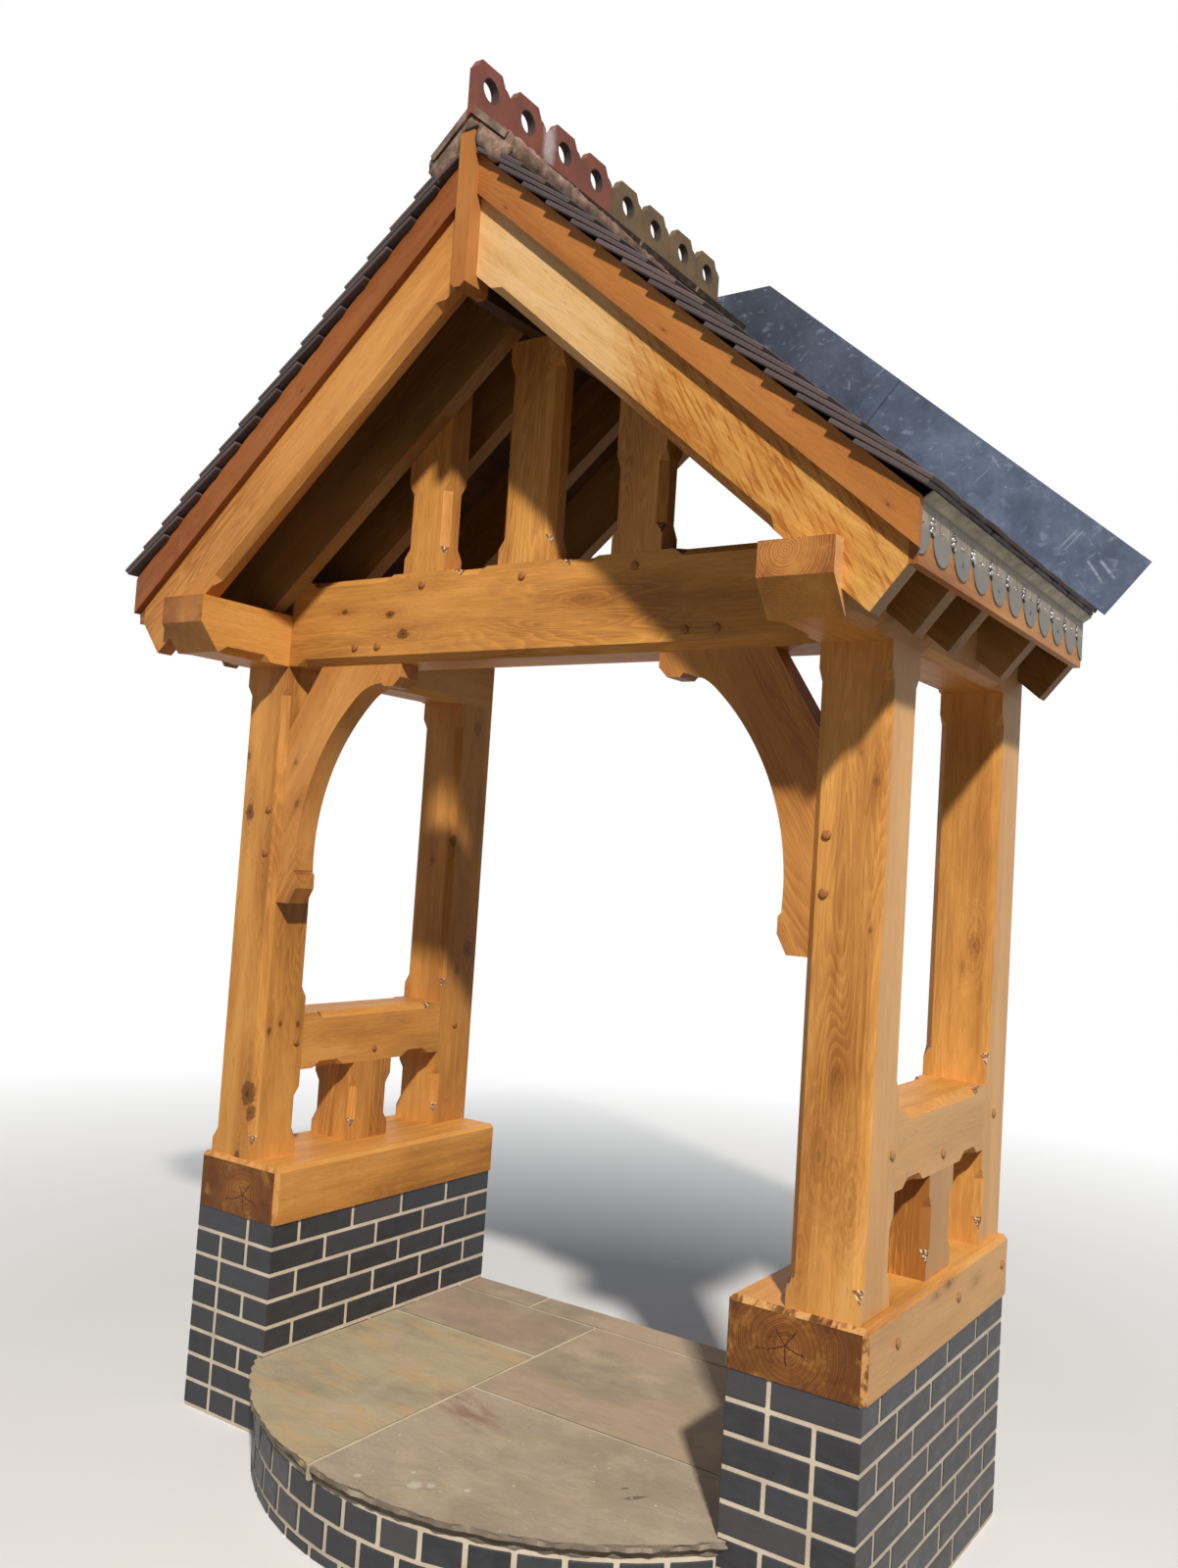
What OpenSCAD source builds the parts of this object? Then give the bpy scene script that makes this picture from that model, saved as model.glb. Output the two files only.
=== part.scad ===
// Oak porch canopy on two brick plinths, with a curved stone step
// Frame: X across the porch, +Y towards the house wall, Z up from the ground

/* [Plinths] */
// Width of each brick plinth
plinth_w = 327.5; // [240:0.5:440]
// Depth of each plinth from the wall to its front face
plinth_d = 1012.5; // [800:0.5:1400]
// Height of the plinths above the ground
plinth_h = 600; // [300:1:900]
// Clear width between the two plinths
doorway_w = 1494; // [1100:1:2000]

/* [Curved step] */
// Height of the step floor above the ground
step_h = 225; // [140:1:280]
// Thickness of the sandstone flags
flag_t = 40; // [25:1:60]
// Projection of the curved front past the plinths
step_out = 387.5; // [250:0.5:600]
// Lap of the curved riser onto the front of each plinth
riser_lap = 3; // [0:1:60]
// Overhang of the flags past the brick riser
nosing = 25; // [10:1:45]
// Width of the pointed joints between the flags
joint_w = 10; // [5:1:15]
// Distance from the centre line to the long joint on the left
long_joint_x = 177; // [60:1:320]
// Distance from the wall to the cross joint on the left
left_joint_y = 450; // [300:1:600]
// Distance from the wall to the cross joint on the right
right_joint_y = 750; // [520:1:790]
// Distance from the wall to the joint along the back
back_joint_y = 122; // [60:1:200]
// Distance from the centre line to the short joint at the back
back_joint_x = 448; // [360:1:520]

/* [Oak frame] */
// Side of the square oak baulks used for posts and rails
baulk = 175; // [140:1:210]
// Height of the oak sills
sill_h = 162; // [110:1:200]
// Overhang of the sills past the plinth faces
sill_lap = 6; // [2:1:25]
// Distance from the outer edge of the sill to the post
post_in = 28; // [10:1:60]
// Distance from the front of the sill to the front post
post_set = 15; // [5:1:40]
// Height of the posts
post_h = 1494; // [1250:1:1900]
// Gap between the sill and the mid rail
rail_gap = 254; // [180:1:420]
// Height of the wall plates
plate_h = 155; // [120:1:200]
// Projection of the wall plates in front of the posts
plate_out = 340; // [240:1:420]
// Height of the tie beam
tie_h = 255; // [180:1:300]
// Width of the middle strut on the tie beam
king_w = 175; // [110:1:200]
// Width of the two side struts on the tie beam
queen_w = 150; // [100:1:180]
// Distance from the centre line to each side strut
queen_x = 357; // [290:1:450]
// Thickness of the struts and of the knee braces
strut_t = 75; // [45:1:75]
// Width of the chamfers on the oak
chamfer = 20; // [10:1:26]

/* [Knee braces] */
// Drop of each brace below the tie beam
brace_drop = 720; // [600:1:900]
// Reach of each brace along the tie beam
brace_reach = 443; // [380:1:520]
// Radius of the long curve
brace_r = 645; // [600:1:800]
// Depth of the brace where it meets the tie beam
brace_neck = 56; // [40:1:90]
// Width of the brace where it meets the post
brace_foot = 70; // [50:1:100]

/* [Roof] */
// Pitch of the roof
pitch = 40; // [35:0.5:45]
// Depth of the rafters square to the slope
rafter_d = 200; // [150:1:220]
// Thickness of the rafters
rafter_t = 50; // [38:1:62]
// Length of the rafter seat on the wall plate
seat_w = 122; // [80:1:150]
// Thickness of the ridge board and of the apex block
ridge_t = 45; // [30:1:70]
// Projection of the verge rafters in front of the posts
verge_out = 300; // [220:1:320]
// Projection of the eaves past the wall plates
eave_out = 158; // [110:1:240]
// Overhang of the tiles past the fascias
eave_over = 42; // [25:1:60]
// Height of the fascias below the tiles
fascia_h = 138; // [110:1:200]
// Distance from the wall to the middle pair of rafters
mid_rafter_y = 400; // [200:1:520]
// Visible width of the bargeboards
barge_d = 80; // [60:1:120]
// Thickness of the bargeboards and fascias
board_t = 20; // [15:1:28]
// Gauge of the tile courses along the slope
tile_gauge = 100; // [85:1:115]
// Thickness of each roof tile
tile_t = 12; // [9:1:16]
// Overhang of the tiles past the bargeboards
tile_verge = 20; // [8:1:50]

/* [Ridge] */
// Length of one crested ridge tile
ridge_len = 316; // [250:1:400]
// Length of each sloping leg of the ridge tiles
ridge_leg = 150; // [110:1:190]
// Thickness of the ridge tile legs
ridge_tile_t = 18; // [12:1:25]
// Thickness of the mortar bed under the ridge tiles
bed_t = 20; // [8:1:30]
// Height of the pierced crest above the ridge tile
crest_h = 122; // [100:1:180]
// Thickness of the pierced crest
crest_t = 24; // [16:1:32]
// Diameter of the round holes in the crest
crest_hole = 60; // [40:1:64]

/* [Leadwork] */
// Thickness of the lead sheet
lead_t = 3; // [2:0.5:5]
// Number of hanging tongues on each eaves apron
tongue_n = 10; // [8:1:12]
// Gap between neighbouring tongues
tongue_gap = 18; // [6:1:50]
// Height of the plain band above the tongues
band_h = 56; // [30:1:90]
// Height of the flashing against the wall above the tiles
flash_h = 184; // [120:1:220]

/* [Pegs] */
// Diameter of the oak pegs
peg_d = 24; // [16:1:30]
// Projection of the pegs from the faces
peg_out = 6; // [3:1:12]

/* [Hidden] */
$fn = 64;

// Plan positions
plinth_in = doorway_w / 2;
plinth_out = plinth_in + plinth_w;
sill_w = plinth_w + 2 * sill_lap;
sill_in = plinth_in - sill_lap;
sill_out = plinth_out + sill_lap;
sill_front = plinth_d + sill_lap / 2;
post_out = sill_out - post_in;
post_inner = post_out - baulk;
frame_y = sill_front - post_set;
post_back = frame_y - baulk;
mid_y = (post_back + baulk) / 2;

// Curved front, struck from one centre through the ends and the middle of the riser
step_reach = plinth_d + step_out;
riser_end = plinth_in + riser_lap;
riser_out = step_out - nosing;
riser_r = (pow(riser_end, 2) + pow(riser_out, 2)) / (2 * riser_out);
step_r = riser_r + nosing;

// Levels
sill_z = plinth_h + sill_h;
plate_z = sill_z + post_h;
plate_top = plate_z + plate_h;
rail_z = sill_z + rail_gap;
rail_top = rail_z + baulk;
tie_top = plate_z + tie_h;
bed_z = step_h - flag_t;
brick_w = 102.5;
pointing_low = 4;
pointing_back = 6;

// Brace noses and the straight back edge
nose_l = 72;
nose_cut = 26;
nose_lip = 10;
toe_cut = 47;
brace_back_x = 127;
brace_back_z = 198;

// Start of the long curve above the foot and radius of the short curve
brace_low = 150;
brace_r2 = 148;

// Chamfer stops
stop_run = 1.5 * chamfer;
foot_stop = 42;
head_stop = 58;
rail_stop = 50;
truss_stop = 36;
plate_stop = 70;
plate_rest = 12;
sill_cut = 12;

// Splayed nose of the wall plates
plate_nose = 65;
plate_nose_h = 77;

// Roof geometry, with v measured square to the slope from the rafter underside
sp = sin(pitch);
cp = cos(pitch);
tp = tan(pitch);
soffit_z = plate_top + tp * (post_out - seat_w);
deck_t = 12;
batten_t = 25;
v_deck = rafter_d;
v_batten = v_deck + deck_t;
v_tile = v_batten + batten_t;
tile_len = 265;
tile_rise = tile_t * tile_len / tile_gauge;
v_top = v_tile + tile_t + tile_rise;
verge_y = frame_y + verge_out;
barge_y = verge_y + board_t;
tile_y = barge_y + tile_verge;
tail_x = post_out + eave_out - board_t;
fascia_x = post_out + eave_out;
eave_x = fascia_x + eave_over;
tail_run = 63;
foot_x = post_out + tail_run;
fascia_z = roof_z(v_tile, fascia_x) - fascia_h;
ridge_drop = 42;
ridge_z = roof_z(0, ridge_t / 2) - ridge_drop;
ridge_gap = 4;
ridge_slot = ridge_t / 2 + ridge_gap;
block_out = 45;
block_y = verge_y + block_out;
block_low = 8;
block_top = roof_z(v_top, ridge_t / 2) - block_low;
block_cut = 12;

// Ridge, with the first tile cut shorter so that its end lies over the verge
ridge_trim = 20;
ridge_tile_gap = 12;
ridge_step = ridge_len + ridge_tile_gap;
ridge_n = floor((tile_y + ridge_trim + ridge_tile_gap) / ridge_step);
ridge_end = tile_y + ridge_trim + ridge_tile_gap - ridge_n * ridge_step;
front_run = 2;
v_ridge = v_top + bed_t;
ridge_apex = soffit_z + (v_ridge + ridge_tile_t) / cp;
bed_back = 6;
plug_len = 60;
plug_gap = 14;

// Outline of one crest lobe, measured from its top and from its ends
lobe = ridge_len / 2;
crest_root = (crest_t / 2 * tp + ridge_tile_t / cp) / 2;
hole_drop = 62;
notch_drop = 40;
notch_run = 14;
shoulder_drop = 28;
shoulder_run = 22;
shoulder_lift = 2;
lobe_in = 38;

// Leadwork
flash_flange = 150;
flash_tip = 45;
flash_cap = ridge_apex + flash_tip;
flash_past = 22;
saddle_lap = 8;
saddle_x = ridge_leg * cp + ridge_tile_t * sp + saddle_lap;
tip_up = 20;
fold_drop = 12;
lip_w = 4;
barge_past = 5;
lap = 1;

// Peg places
peg_edge = 40;
brace_peg_drop = 440;
brace_peg_gap = 132;
tie_peg_in = 275;
tie_peg_gap = 89;
tie_peg_up = 48;
strut_peg_down = 36;
sill_peg_in = 165;
sill_peg_up = 90;
rail_peg_in = 28;

depth = max(step_reach, tile_y);
shift_y = depth / 2;

function roof_z(v, x) = soffit_z + v / cp - tp * x;

// Front view point at a distance down the slope and a height square to it
function slope_point(s, v) = [s * cp + v * sp, soffit_z - s * sp + v * cp];

// Puts the wall plane behind the centre of the base
module placed() {
  translate([0, shift_y, 0]) children();
}

// Extrudes a front view from one depth to another, both measured from the wall
module front_view(near, far) {
  translate([0, -far, 0])
    rotate([90, 0, 0])
      linear_extrude(near - far) children();
}

// Box given by its corners, with the depth measured from the wall
module block(x0, x1, y_near, y_far, z0, z1) {
  translate([x0, -y_near, z0]) cube([x1 - x0, y_near - y_far, z1 - z0]);
}

// Flat view frame that follows the right hand slope
module slope() {
  translate([0, soffit_z]) rotate(-pitch) children();
}

// Cutter for a chamfer with angled stops on the +x +y arris of a baulk
module stop_chamfer(span) {
  deep = chamfer / sqrt(2);
  rotate([0, 0, 45])
    rotate([90, 0, 0])
      translate([0, 0, -1.5 * chamfer])
        linear_extrude(3 * chamfer)
          polygon([
            [-deep, stop_run],
            [-deep, span - stop_run],
            [deep, span + stop_run],
            [deep, -stop_run]
          ]);
}

// Cuts the four upright arrises of a post between two levels
module upright_cut(x0, x1, y_near, y_far, z0, z1, front, back) {
  if (front) {
    translate([x1, -y_near, z0]) rotate([0, 0, -90]) stop_chamfer(z1 - z0);
    translate([x0, -y_near, z0]) rotate([0, 0, 180]) stop_chamfer(z1 - z0);
  }
  if (back) {
    translate([x1, -y_far, z0]) stop_chamfer(z1 - z0);
    translate([x0, -y_far, z0]) rotate([0, 0, 90]) stop_chamfer(z1 - z0);
  }
}

// Cuts an arris that runs front to back, the turn picks the corner
module deep_cut(x, z, y_near, y_far, turn) {
  translate([x, -y_far, z])
    rotate([90, 0, 0])
      rotate([0, 0, turn]) stop_chamfer(y_near - y_far);
}

// Cuts an arris that runs across the porch, the turn picks the corner
module cross_cut(x0, x1, y, z, turn) {
  translate([x0, -y, z])
    rotate([90, 0, 90])
      rotate([0, 0, turn]) stop_chamfer(x1 - x0);
}

// Plinths and step

module plinth() {
  block(plinth_in, plinth_out, plinth_d, 0, 0, plinth_h);
}

// Plan of the step, bowed out in front of the plinths
module step_plan(inset) {
  union() {
    intersection() {
      translate([0, -(step_reach - step_r)]) circle(r = step_r - inset, $fn = 180);
      translate([-plinth_out, -2 * step_reach])
        square([2 * plinth_out, 2 * step_reach - plinth_d]);
    }
    translate([-plinth_in, -plinth_d]) square([doorway_w, plinth_d]);
  }
}

// Joints between the five flags
module flag_joint_lines() {
  translate([-long_joint_x - joint_w / 2, -2 * step_reach])
    square([joint_w, 2 * step_reach - back_joint_y]);
  translate([-doorway_w, -left_joint_y - joint_w / 2])
    square([doorway_w - long_joint_x, joint_w]);
  translate([-long_joint_x, -right_joint_y - joint_w / 2]) square([doorway_w, joint_w]);
  translate([-doorway_w, -back_joint_y - joint_w / 2]) square([2 * doorway_w, joint_w]);
  translate([-back_joint_x - joint_w / 2, -back_joint_y]) square([joint_w, back_joint_y]);
}

module step_core() {
  color("dimgray") placed() linear_extrude(bed_z) step_plan(nosing + brick_w);
}

module step_riser() {
  color("slategray") placed()
    linear_extrude(bed_z)
      difference() {
        step_plan(nosing);
        step_plan(nosing + brick_w);
      }
}

module step_flags() {
  color("darkkhaki") placed()
    translate([0, 0, bed_z])
      linear_extrude(flag_t)
        difference() {
          step_plan(0);
          flag_joint_lines();
        }
}

module step_pointing() {
  color("antiquewhite") placed()
    translate([0, 0, bed_z])
      linear_extrude(flag_t - pointing_low)
        intersection() {
          step_plan(pointing_back);
          flag_joint_lines();
        }
}

// Oak frame

module sill() {
  difference() {
    block(sill_in, sill_out, sill_front, 0, plinth_h, sill_z);
    for (x = [sill_in, sill_out])
      translate([x, 0, sill_z])
        rotate([90, 0, 0])
          linear_extrude(3 * sill_front, center = true) rotate(45)
            square(sill_cut * sqrt(2), center = true);
    for (x = [sill_in, sill_out])
      translate([x, -sill_front, 0])
        linear_extrude(2 * sill_z) rotate(45)
          square(sill_cut * sqrt(2), center = true);
    translate([0, -sill_front, sill_z])
      rotate([0, 90, 0])
        linear_extrude(2 * sill_out) rotate(45)
          square(sill_cut * sqrt(2), center = true);
  }
}

module front_post() {
  z_low = sill_z + foot_stop;
  z_high = plate_z - head_stop;
  difference() {
    block(post_inner, post_out, frame_y, post_back, sill_z, plate_z);
    upright_cut(post_inner, post_out, frame_y, post_back, z_low, z_high, true, false);
    upright_cut(post_inner, post_out, frame_y, post_back, z_low, rail_z - rail_stop, false, true);
    upright_cut(post_inner, post_out, frame_y, post_back, rail_top + rail_stop, z_high, false, true);
  }
}

module rear_post() {
  z_low = sill_z + foot_stop;
  z_high = plate_z - head_stop;
  difference() {
    block(post_inner, post_out, baulk, 0, sill_z, plate_z);
    upright_cut(post_inner, post_out, baulk, 0, z_low, rail_z - rail_stop, true, false);
    upright_cut(post_inner, post_out, baulk, 0, rail_top + rail_stop, z_high, true, false);
  }
}

module rail() {
  stub_near = mid_y + baulk / 2;
  stub_far = mid_y - baulk / 2;
  difference() {
    block(post_inner, post_out, post_back, baulk, rail_z, rail_top);
    deep_cut(post_out, rail_top, post_back - rail_stop, baulk + rail_stop, 0);
    deep_cut(post_inner, rail_top, post_back - rail_stop, baulk + rail_stop, 90);
    deep_cut(post_out, rail_z, post_back - rail_stop, stub_near + rail_stop, -90);
    deep_cut(post_inner, rail_z, post_back - rail_stop, stub_near + rail_stop, 180);
    deep_cut(post_out, rail_z, stub_far - rail_stop, baulk + rail_stop, -90);
    deep_cut(post_inner, rail_z, stub_far - rail_stop, baulk + rail_stop, 180);
  }
}

module stub_post() {
  stub_near = mid_y + baulk / 2;
  stub_far = mid_y - baulk / 2;
  difference() {
    block(post_inner, post_out, stub_near, stub_far, sill_z, rail_z);
    upright_cut(post_inner, post_out, stub_near, stub_far,
      sill_z + foot_stop, rail_z - rail_stop, true, true);
  }
}

module wall_plate() {
  tip = frame_y + plate_out;
  difference() {
    translate([post_inner, 0, 0])
      rotate([90, 0, 90])
        linear_extrude(baulk)
          polygon([
            [0, plate_z],
            [0, plate_top],
            [-tip, plate_top],
            [-tip, plate_z + plate_nose_h],
            [-tip + plate_nose, plate_z]
          ]);
    for (x_turn = [[post_out, -90], [post_inner, 180]]) {
      deep_cut(x_turn[0], plate_z, tip - plate_stop, frame_y + plate_stop, x_turn[1]);
      deep_cut(x_turn[0], plate_z, post_back - plate_rest, baulk + plate_rest, x_turn[1]);
    }
  }
}

module tie_beam() {
  reach = post_inner - truss_stop;
  color("peru") placed()
    difference() {
      block(-post_inner, post_inner, frame_y, post_back, plate_z, tie_top);
      cross_cut(-reach, reach, frame_y, plate_z, 180);
      cross_cut(-reach, reach, post_back, plate_z, -90);
      for (side = [-1, 1]) {
        inner = side * (king_w / 2 + truss_stop);
        outer = side * (queen_x - queen_w / 2 - truss_stop);
        cross_cut(min(inner, outer), max(inner, outer), frame_y, tie_top, 90);
        past = side * (queen_x + queen_w / 2 + truss_stop);
        far = side * (post_inner - plate_stop);
        cross_cut(min(past, far), max(past, far), frame_y, tie_top, 90);
      }
    }
}

module queen_strut() {
  x0 = queen_x - queen_w / 2;
  x1 = queen_x + queen_w / 2;
  difference() {
    front_view(frame_y, frame_y - strut_t)
      polygon([
        [x0, tie_top],
        [x1, tie_top],
        [x1, roof_z(v_deck, x1)],
        [x0, roof_z(v_deck, x0)]
      ]);
    upright_cut(x0, x1, frame_y, frame_y - strut_t, tie_top + foot_stop,
      roof_z(0, x1) - head_stop, true, true);
  }
}

module roof_struts() {
  color("peru") placed() {
    difference() {
      block(-king_w / 2, king_w / 2, frame_y, frame_y - strut_t, tie_top, ridge_z);
      upright_cut(-king_w / 2, king_w / 2, frame_y, frame_y - strut_t,
        tie_top + foot_stop, ridge_z - head_stop, true, true);
    }
    queen_strut();
    mirror([1, 0, 0]) queen_strut();
  }
}

// Knee brace, front view for the right hand side
// The long curve and the short curve near the tie beam meet on one tangent
module brace_view() {
  x_tip = post_inner - brace_reach;
  z_tip = plate_z - brace_drop;
  flat_z = plate_z - brace_neck;
  curve_x = post_inner - brace_foot;
  cx = curve_x - brace_r;
  cz = z_tip + brace_low;
  r2 = brace_r2;
  sx = cx + sqrt(pow(brace_r - r2, 2) - pow(flat_z - r2 - cz, 2));
  touch_z = cz + brace_r * (flat_z - r2 - cz) / (brace_r - r2);
  difference() {
    polygon([
      [x_tip, plate_z],
      [x_tip, flat_z + nose_cut - nose_lip],
      [x_tip + nose_cut, flat_z - nose_lip],
      [x_tip + nose_l - nose_lip, flat_z - nose_lip],
      [x_tip + nose_l, flat_z],
      [curve_x, z_tip + nose_l + nose_cut],
      [curve_x - nose_lip, z_tip + nose_l + nose_cut - nose_lip],
      [curve_x - nose_lip, z_tip + toe_cut],
      [curve_x - nose_lip + nose_cut, z_tip],
      [post_inner, z_tip],
      [post_inner, plate_z - brace_back_z],
      [post_inner - brace_back_x, plate_z]
    ]);
    intersection() {
      translate([x_tip + nose_l, z_tip + nose_l + nose_cut])
        square([brace_reach, brace_drop]);
      union() {
        intersection() {
          translate([cx, cz]) circle(r = brace_r, $fn = 240);
          translate([cx - 2 * brace_r, cz - 2 * brace_r])
            square([4 * brace_r, touch_z - cz + 2 * brace_r]);
        }
        translate([sx, flat_z - r2]) circle(r = r2, $fn = 96);
      }
    }
  }
}

module knee_brace() {
  near = frame_y - chamfer;
  front_view(near, near - strut_t) brace_view();
}

// Roof timbers

module rafter_view() {
  polygon([
    [ridge_t / 2, roof_z(0, ridge_t / 2)],
    [post_out - seat_w, plate_top],
    [post_out, plate_top],
    [post_out, roof_z(0, post_out)],
    [foot_x, roof_z(0, foot_x)],
    [tail_x, fascia_z],
    [tail_x, roof_z(v_deck, tail_x)],
    [ridge_t / 2, roof_z(v_deck, ridge_t / 2)]
  ]);
}

module verge_rafter() {
  x0 = ridge_t / 2 + rail_stop;
  x1 = post_out - seat_w - truss_stop;
  difference() {
    front_view(verge_y, verge_y - rafter_t) rafter_view();
    translate([x0, -verge_y, roof_z(0, x0)])
      rotate([0, 90 + pitch, 0])
        rotate([0, 0, -90]) stop_chamfer((x1 - x0) / cp);
  }
}

// Common rafters, one each side of the truss, one in the middle and one at the wall
module common_rafters() {
  front_view(frame_y + rafter_t, frame_y) rafter_view();
  front_view(post_back, post_back - rafter_t) rafter_view();
  front_view(mid_rafter_y + rafter_t / 2, mid_rafter_y - rafter_t / 2) rafter_view();
  front_view(rafter_t, 0) rafter_view();
}

module bargeboard() {
  front_view(barge_y, verge_y)
    polygon([
      [ridge_t / 2, roof_z(v_tile - barge_d, ridge_t / 2)],
      [fascia_x + barge_past, roof_z(v_tile - barge_d, fascia_x + barge_past)],
      [fascia_x + barge_past, roof_z(v_tile, fascia_x + barge_past)],
      [ridge_t / 2, roof_z(v_tile, ridge_t / 2)]
    ]);
}

module apex_block() {
  color("peru") placed()
    front_view(block_y, verge_y - rafter_t)
      polygon([
        [-ridge_t / 2 + block_cut, ridge_z],
        [ridge_t / 2 - block_cut, ridge_z],
        [ridge_t / 2, ridge_z + block_cut],
        [ridge_t / 2, block_top],
        [-ridge_t / 2, block_top],
        [-ridge_t / 2, ridge_z + block_cut]
      ]);
}

module ridge_board() {
  color("sienna") placed()
    block(-ridge_t / 2, ridge_t / 2, verge_y - rafter_t, 0, ridge_z,
      roof_z(v_batten, ridge_t / 2));
}

module fascia() {
  front_view(verge_y, 0)
    polygon([
      [tail_x, fascia_z],
      [fascia_x, fascia_z],
      [fascia_x, roof_z(v_tile, fascia_x)],
      [tail_x, roof_z(v_tile, tail_x)]
    ]);
}

module roof_boards() {
  front_view(verge_y, 0)
    polygon([
      [ridge_t / 2, roof_z(v_deck, ridge_t / 2)],
      [tail_x, roof_z(v_deck, tail_x)],
      [tail_x, roof_z(v_batten, tail_x)],
      [ridge_t / 2, roof_z(v_batten, ridge_t / 2)]
    ]);
}

// Slope distance from the ridge line to the tile edge at the eaves
eave_s = (eave_x - v_top * sp) / cp;
ridge_s = (ridge_slot - v_top * sp) / cp;
course_n = floor((eave_s - ridge_s - tile_gauge / 2) / tile_gauge);
batten_w = 38;
nib_run = 14;
batten_s = eave_s - tile_len + nib_run;
batten_n = floor((batten_s - (ridge_slot - v_tile * sp) / cp - 10) / tile_gauge) + 1;

module battens() {
  front_view(verge_y, 0)
    slope()
      for (i = [0:batten_n - 1])
        translate([batten_s - i * tile_gauge, v_batten]) square([batten_w, batten_t]);
}

// Tile courses as one stepped layer, each tail standing on the course below
module tile_view() {
  last_s = eave_s - course_n * tile_gauge;
  past_s = last_s - 3 * tile_gauge;
  saw = [for (i = [0:course_n - 1]) each [
    [eave_s - i * tile_gauge, v_top],
    [eave_s - (i + 1) * tile_gauge, v_top - tile_t]
  ]];
  intersection() {
    slope()
      polygon(concat(
        [[past_s, v_tile], [eave_s - 2 * eave_over, v_tile], [eave_s, v_top - 2 * tile_t]],
        saw,
        [[last_s, v_top], [past_s, v_top - 3 * tile_t]]
      ));
    translate([ridge_slot, 0]) square([2 * eave_x, 2 * soffit_z]);
  }
}

module tiles() {
  front_view(tile_y, 0) tile_view();
}

// Ridge

module lobe_view() {
  difference() {
    polygon([
      [0, -crest_root],
      [0, crest_h - notch_drop],
      [notch_run, crest_h - shoulder_drop],
      [shoulder_run, crest_h - shoulder_drop + shoulder_lift],
      [lobe_in, crest_h],
      [lobe - lobe_in, crest_h],
      [lobe - shoulder_run, crest_h - shoulder_drop + shoulder_lift],
      [lobe - notch_run, crest_h - shoulder_drop],
      [lobe, crest_h - notch_drop],
      [lobe, -crest_root]
    ]);
    translate([lobe / 2, crest_h - hole_drop]) circle(d = crest_hole, $fn = 48);
  }
}

module ridge_tile() {
  leg_x = ridge_leg * cp;
  under = soffit_z + v_ridge / cp;
  union() {
    rotate([90, 0, 0])
      linear_extrude(ridge_len)
        polygon([
          [0, under],
          [leg_x, under - leg_x * tp],
          [leg_x + ridge_tile_t * sp, under - leg_x * tp + ridge_tile_t * cp],
          [0, ridge_apex],
          [-leg_x - ridge_tile_t * sp, under - leg_x * tp + ridge_tile_t * cp],
          [-leg_x, under - leg_x * tp]
        ]);
    translate([crest_t / 2, -ridge_len, ridge_apex])
      rotate([90, 0, -90])
        linear_extrude(crest_t) {
          translate([-lobe, 0]) lobe_view();
          translate([-2 * lobe, 0]) lobe_view();
        }
  }
}

module ridge_run(first, last) {
  intersection() {
    for (i = [first:last])
      translate([0, -tile_y - ridge_trim + i * ridge_step + ridge_len, 0]) ridge_tile();
    block(-2 * ridge_leg, 2 * ridge_leg, tile_y, 0, soffit_z, ridge_apex + 2 * crest_h);
  }
}

// Mortar under both legs, and filling the hollow of the first tile at the front
module ridge_bedding() {
  leg_x = (ridge_leg - bed_back) * cp;
  near = tile_y - bed_back;
  plug_z = block_top + plug_gap;
  color("rosybrown") placed()
    union()
      for (side = [0, 1])
        mirror([side, 0, 0]) {
          front_view(near, ridge_end)
            polygon([
              [ridge_slot, roof_z(v_top, ridge_slot)],
              [leg_x, roof_z(v_top, leg_x)],
              [leg_x, roof_z(v_ridge, leg_x)],
              [ridge_slot, roof_z(v_ridge, ridge_slot)]
            ]);
          front_view(near, near - plug_len)
            polygon([
              [0, plug_z],
              [ridge_slot, plug_z],
              [ridge_slot, roof_z(v_ridge, ridge_slot)],
              [0, roof_z(v_ridge, 0)]
            ]);
        }
}

// Leadwork

// Upright band with half round tongues, and a lip leaning out below the eaves tiles
module lead_apron() {
  length = verge_y;
  step = length / tongue_n;
  width = step - tongue_gap;
  bead_z = roof_z(v_tile, fascia_x) - band_h;
  fold_z = roof_z(v_tile, fascia_x) - fold_drop;
  mid_z = fascia_z + tip_up + width / 2;
  low = slope_point(eave_s, v_top - 2 * tile_t);
  high = slope_point(eave_s - 2 * eave_over, v_tile);
  inner = low + (high - low) * lip_w / norm(high - low);
  lean = atan2(low[1] - fold_z, low[0] - fascia_x - lead_t);
  fold_in = lead_t * (1 - sin(lean)) / cos(lean);
  translate([fascia_x, 0, 0])
    rotate([90, 0, 90])
      linear_extrude(lead_t)
        union() {
          translate([-length, bead_z]) square([length, fold_z - bead_z]);
          intersection() {
            translate([-length, fascia_z]) square([length, fold_z - fascia_z]);
            for (i = [0:tongue_n])
              translate([-length + i * step, mid_z]) {
                translate([-width / 2, 0]) square([width, fold_z - mid_z]);
                circle(d = width, $fn = 48);
              }
          }
        }
  front_view(length, 0)
    polygon([
      [fascia_x, fold_z - lap],
      [fascia_x + lead_t, fold_z - lap],
      [fascia_x + lead_t, fold_z],
      low,
      inner,
      [fascia_x, fold_z + fold_in]
    ]);
}

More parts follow.
